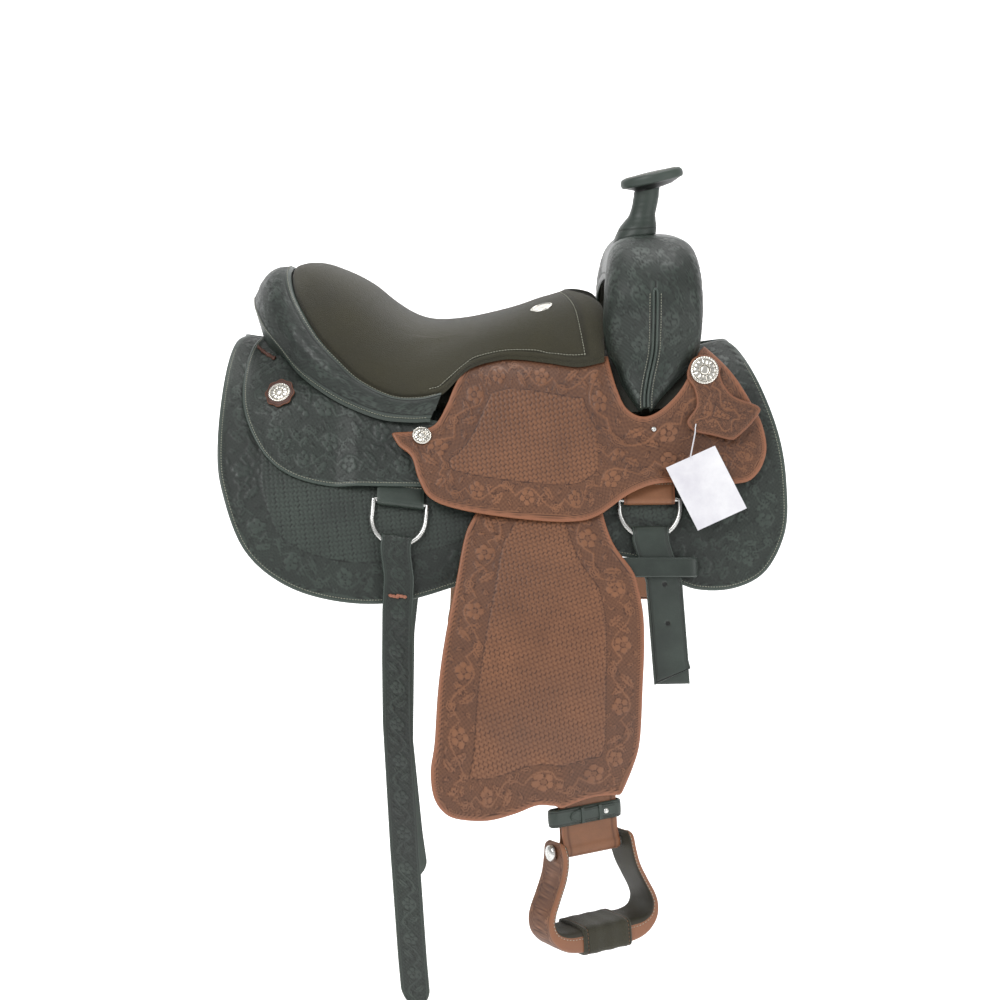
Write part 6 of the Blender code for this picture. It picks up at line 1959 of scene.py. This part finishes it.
def badge():
    middle, ahead, behind, low, high = (seat_point(station * SEAT_FINE, v) for station, v in (
        (2, -0.42), (1, -0.42), (3, -0.42), (2, -0.50), (2, -0.34)))
    side = unit(ahead - behind)
    down = unit(low - high)
    outward = np.cross(side, down)
    outward = outward * np.sign(outward[2])
    down = unit(down - side * (down * side).sum())
    place = frame_place(middle + outward * 1.4 * MM, side, down, outward)
    profile = [(8.6, -1.2), (9.5, -1.0), (9.6, 0.6), (9.2, 1.2), (8.6, 1.3), (8.1, 0.9), (7.6, 0.8),
               (3.0, 1.1)]
    points, faces, marks = revolved(profile, place, 96, [0, 0, 0, 0, 0, 0.9, 0, 0], 48, 0.012, 14 / 9.5)
    piece("badge_oval", points, faces, [SILVER], ["seat_badge"], marks)


silver_and_keepers()
badge()

# Lacing and screws
# Leather lacing at the back of the rear jockeys, and the screw that holds the swell cover's foot.

REAR_LACING = [(-0.302, 0.056), (-0.290, 0.072), (-0.278, 0.085)]


def lacing():
    x, w = curve(REAR_LACING, 12).T
    zigzag = 3.4 * MM * (np.arange(len(x)) % 2)
    line = barrel(x, w + zigzag, rear_jockey_face(x, w) + 0.8 * MM)
    stitched_pair("rear_lacing", [line], pitch=2.9 * MM, length=4.6 * MM, width=3.0 * MM, thread=WASHER)
    spot = surface_frame(0.187, 0.149, jockey_face, 0.0)
    points, faces, marks = revolved([(3.2, -0.3), (3.2, 0.5), (2.6, 1.2), (1.2, 1.5), (0.3, 1.0)],
                                    frame_place(*spot), 32, [0, 0, 0, 0, 0.9])
    both("swell_screw", None, points, faces, [STEEL], marks, bodies=ON_SADDLE)


lacing()

# Tree and paper tag
# The tree, the ground seat and the horn's post lie under the leather and show only in its gaps; the tree is
# given dark leather there as painted shade.
# The tag is stiff white card on a thread.

CARD = fibre_material("card", (0.80, 0.80, 0.82), (0.62, 0.61, 0.66), 0.6, 24.0, 0.04, 0.0)


def bare(finish, *nodes):
    """CAD solids that stay in view, each in one material: its finish, or for the tree a dark leather as
    painted shade.
    """
    for name in nodes:
        frame["nodes"][name].data.materials.clear()
        frame["nodes"][name].data.materials.append(finish)


# The tree's wood gets the dark lining leather as painted shade, so the gaps it shows through read as shadow.
bare(LINING_AND_GAP_SHADE, "tree_bar_off", "tree_bar_near", "tree_fork", "tree_cantle")
bare(BLACK, "ground_seat")
bare(STEEL, "horn_post")
bare(CARD, "hang_tag")

# Camera, light and floor
# Plain white studio, seen from the off side as in the photograph.

TARGET = Vector((0.0, 0.0, -0.174))
DISTANCE = 2.5
ELEVATION = math.radians(10)


def camera():
    data = bpy.data.cameras.new("camera")
    data.lens = 69.2
    data.sensor_width = 36.0
    data.clip_end = 50.0
    thing = bpy.data.objects.new("camera", data)
    thing.location = TARGET + Vector((0, -math.cos(ELEVATION), math.sin(ELEVATION))) * DISTANCE
    thing.rotation_euler = (TARGET - thing.location).to_track_quat("-Z", "Y").to_euler()
    bpy.context.scene.collection.objects.link(thing)
    bpy.context.scene.camera = thing


def lamp(name, place, size, power):
    data = bpy.data.lights.new(name, "AREA")
    data.size = size
    data.energy = power
    thing = bpy.data.objects.new(name, data)
    thing.location = place
    thing.rotation_euler = (TARGET - thing.location).to_track_quat("-Z", "Y").to_euler()
    bpy.context.scene.collection.objects.link(thing)


def backdrop():
    """Floor that curves up into a wall, white to the camera."""
    profile = [(-3.0, -0.86)] + [(1.6 + 1.2 * math.sin(a), 0.34 - 1.2 * math.cos(a))
                                 for a in np.linspace(0, math.pi / 2, 13)] + [(2.8, 3.0)]
    points = [(x, y, z) for y, z in profile for x in (-4.0, 4.0)]
    faces = [(2 * k, 2 * k + 1, 2 * k + 3, 2 * k + 2) for k in range(len(profile) - 1)]
    mesh = bpy.data.meshes.new("backdrop")
    mesh.from_pydata(points, [], faces)
    mesh.shade_smooth()
    paper, _, shader = new_material("paper", 0.9)
    shader.inputs["Base Color"].default_value = (0.92, 0.92, 0.92, 1)
    shader.inputs["Emission Color"].default_value = (1, 1, 1, 1)
    shader.inputs["Emission Strength"].default_value = 0.62
    mesh.materials.append(paper)
    thing = bpy.data.objects.new("backdrop", mesh)
    bpy.context.scene.collection.objects.link(thing)


def world():
    made = bpy.data.worlds.new("studio")
    made.use_nodes = True
    sky = made.node_tree.nodes["Background"]
    sky.inputs["Color"].default_value = (1, 1, 1, 1)
    sky.inputs["Strength"].default_value = 0.52
    bpy.context.scene.world = made


camera()
lamp("key", (-1.3, -2.2, 1.9), 1.4, 46)
lamp("fill", (2.2, -1.8, 0.6), 1.6, 17)
lamp("top", (0.2, 0.6, 2.4), 1.2, 25)
backdrop()
world()
bpy.context.scene.view_settings.view_transform = "Standard"
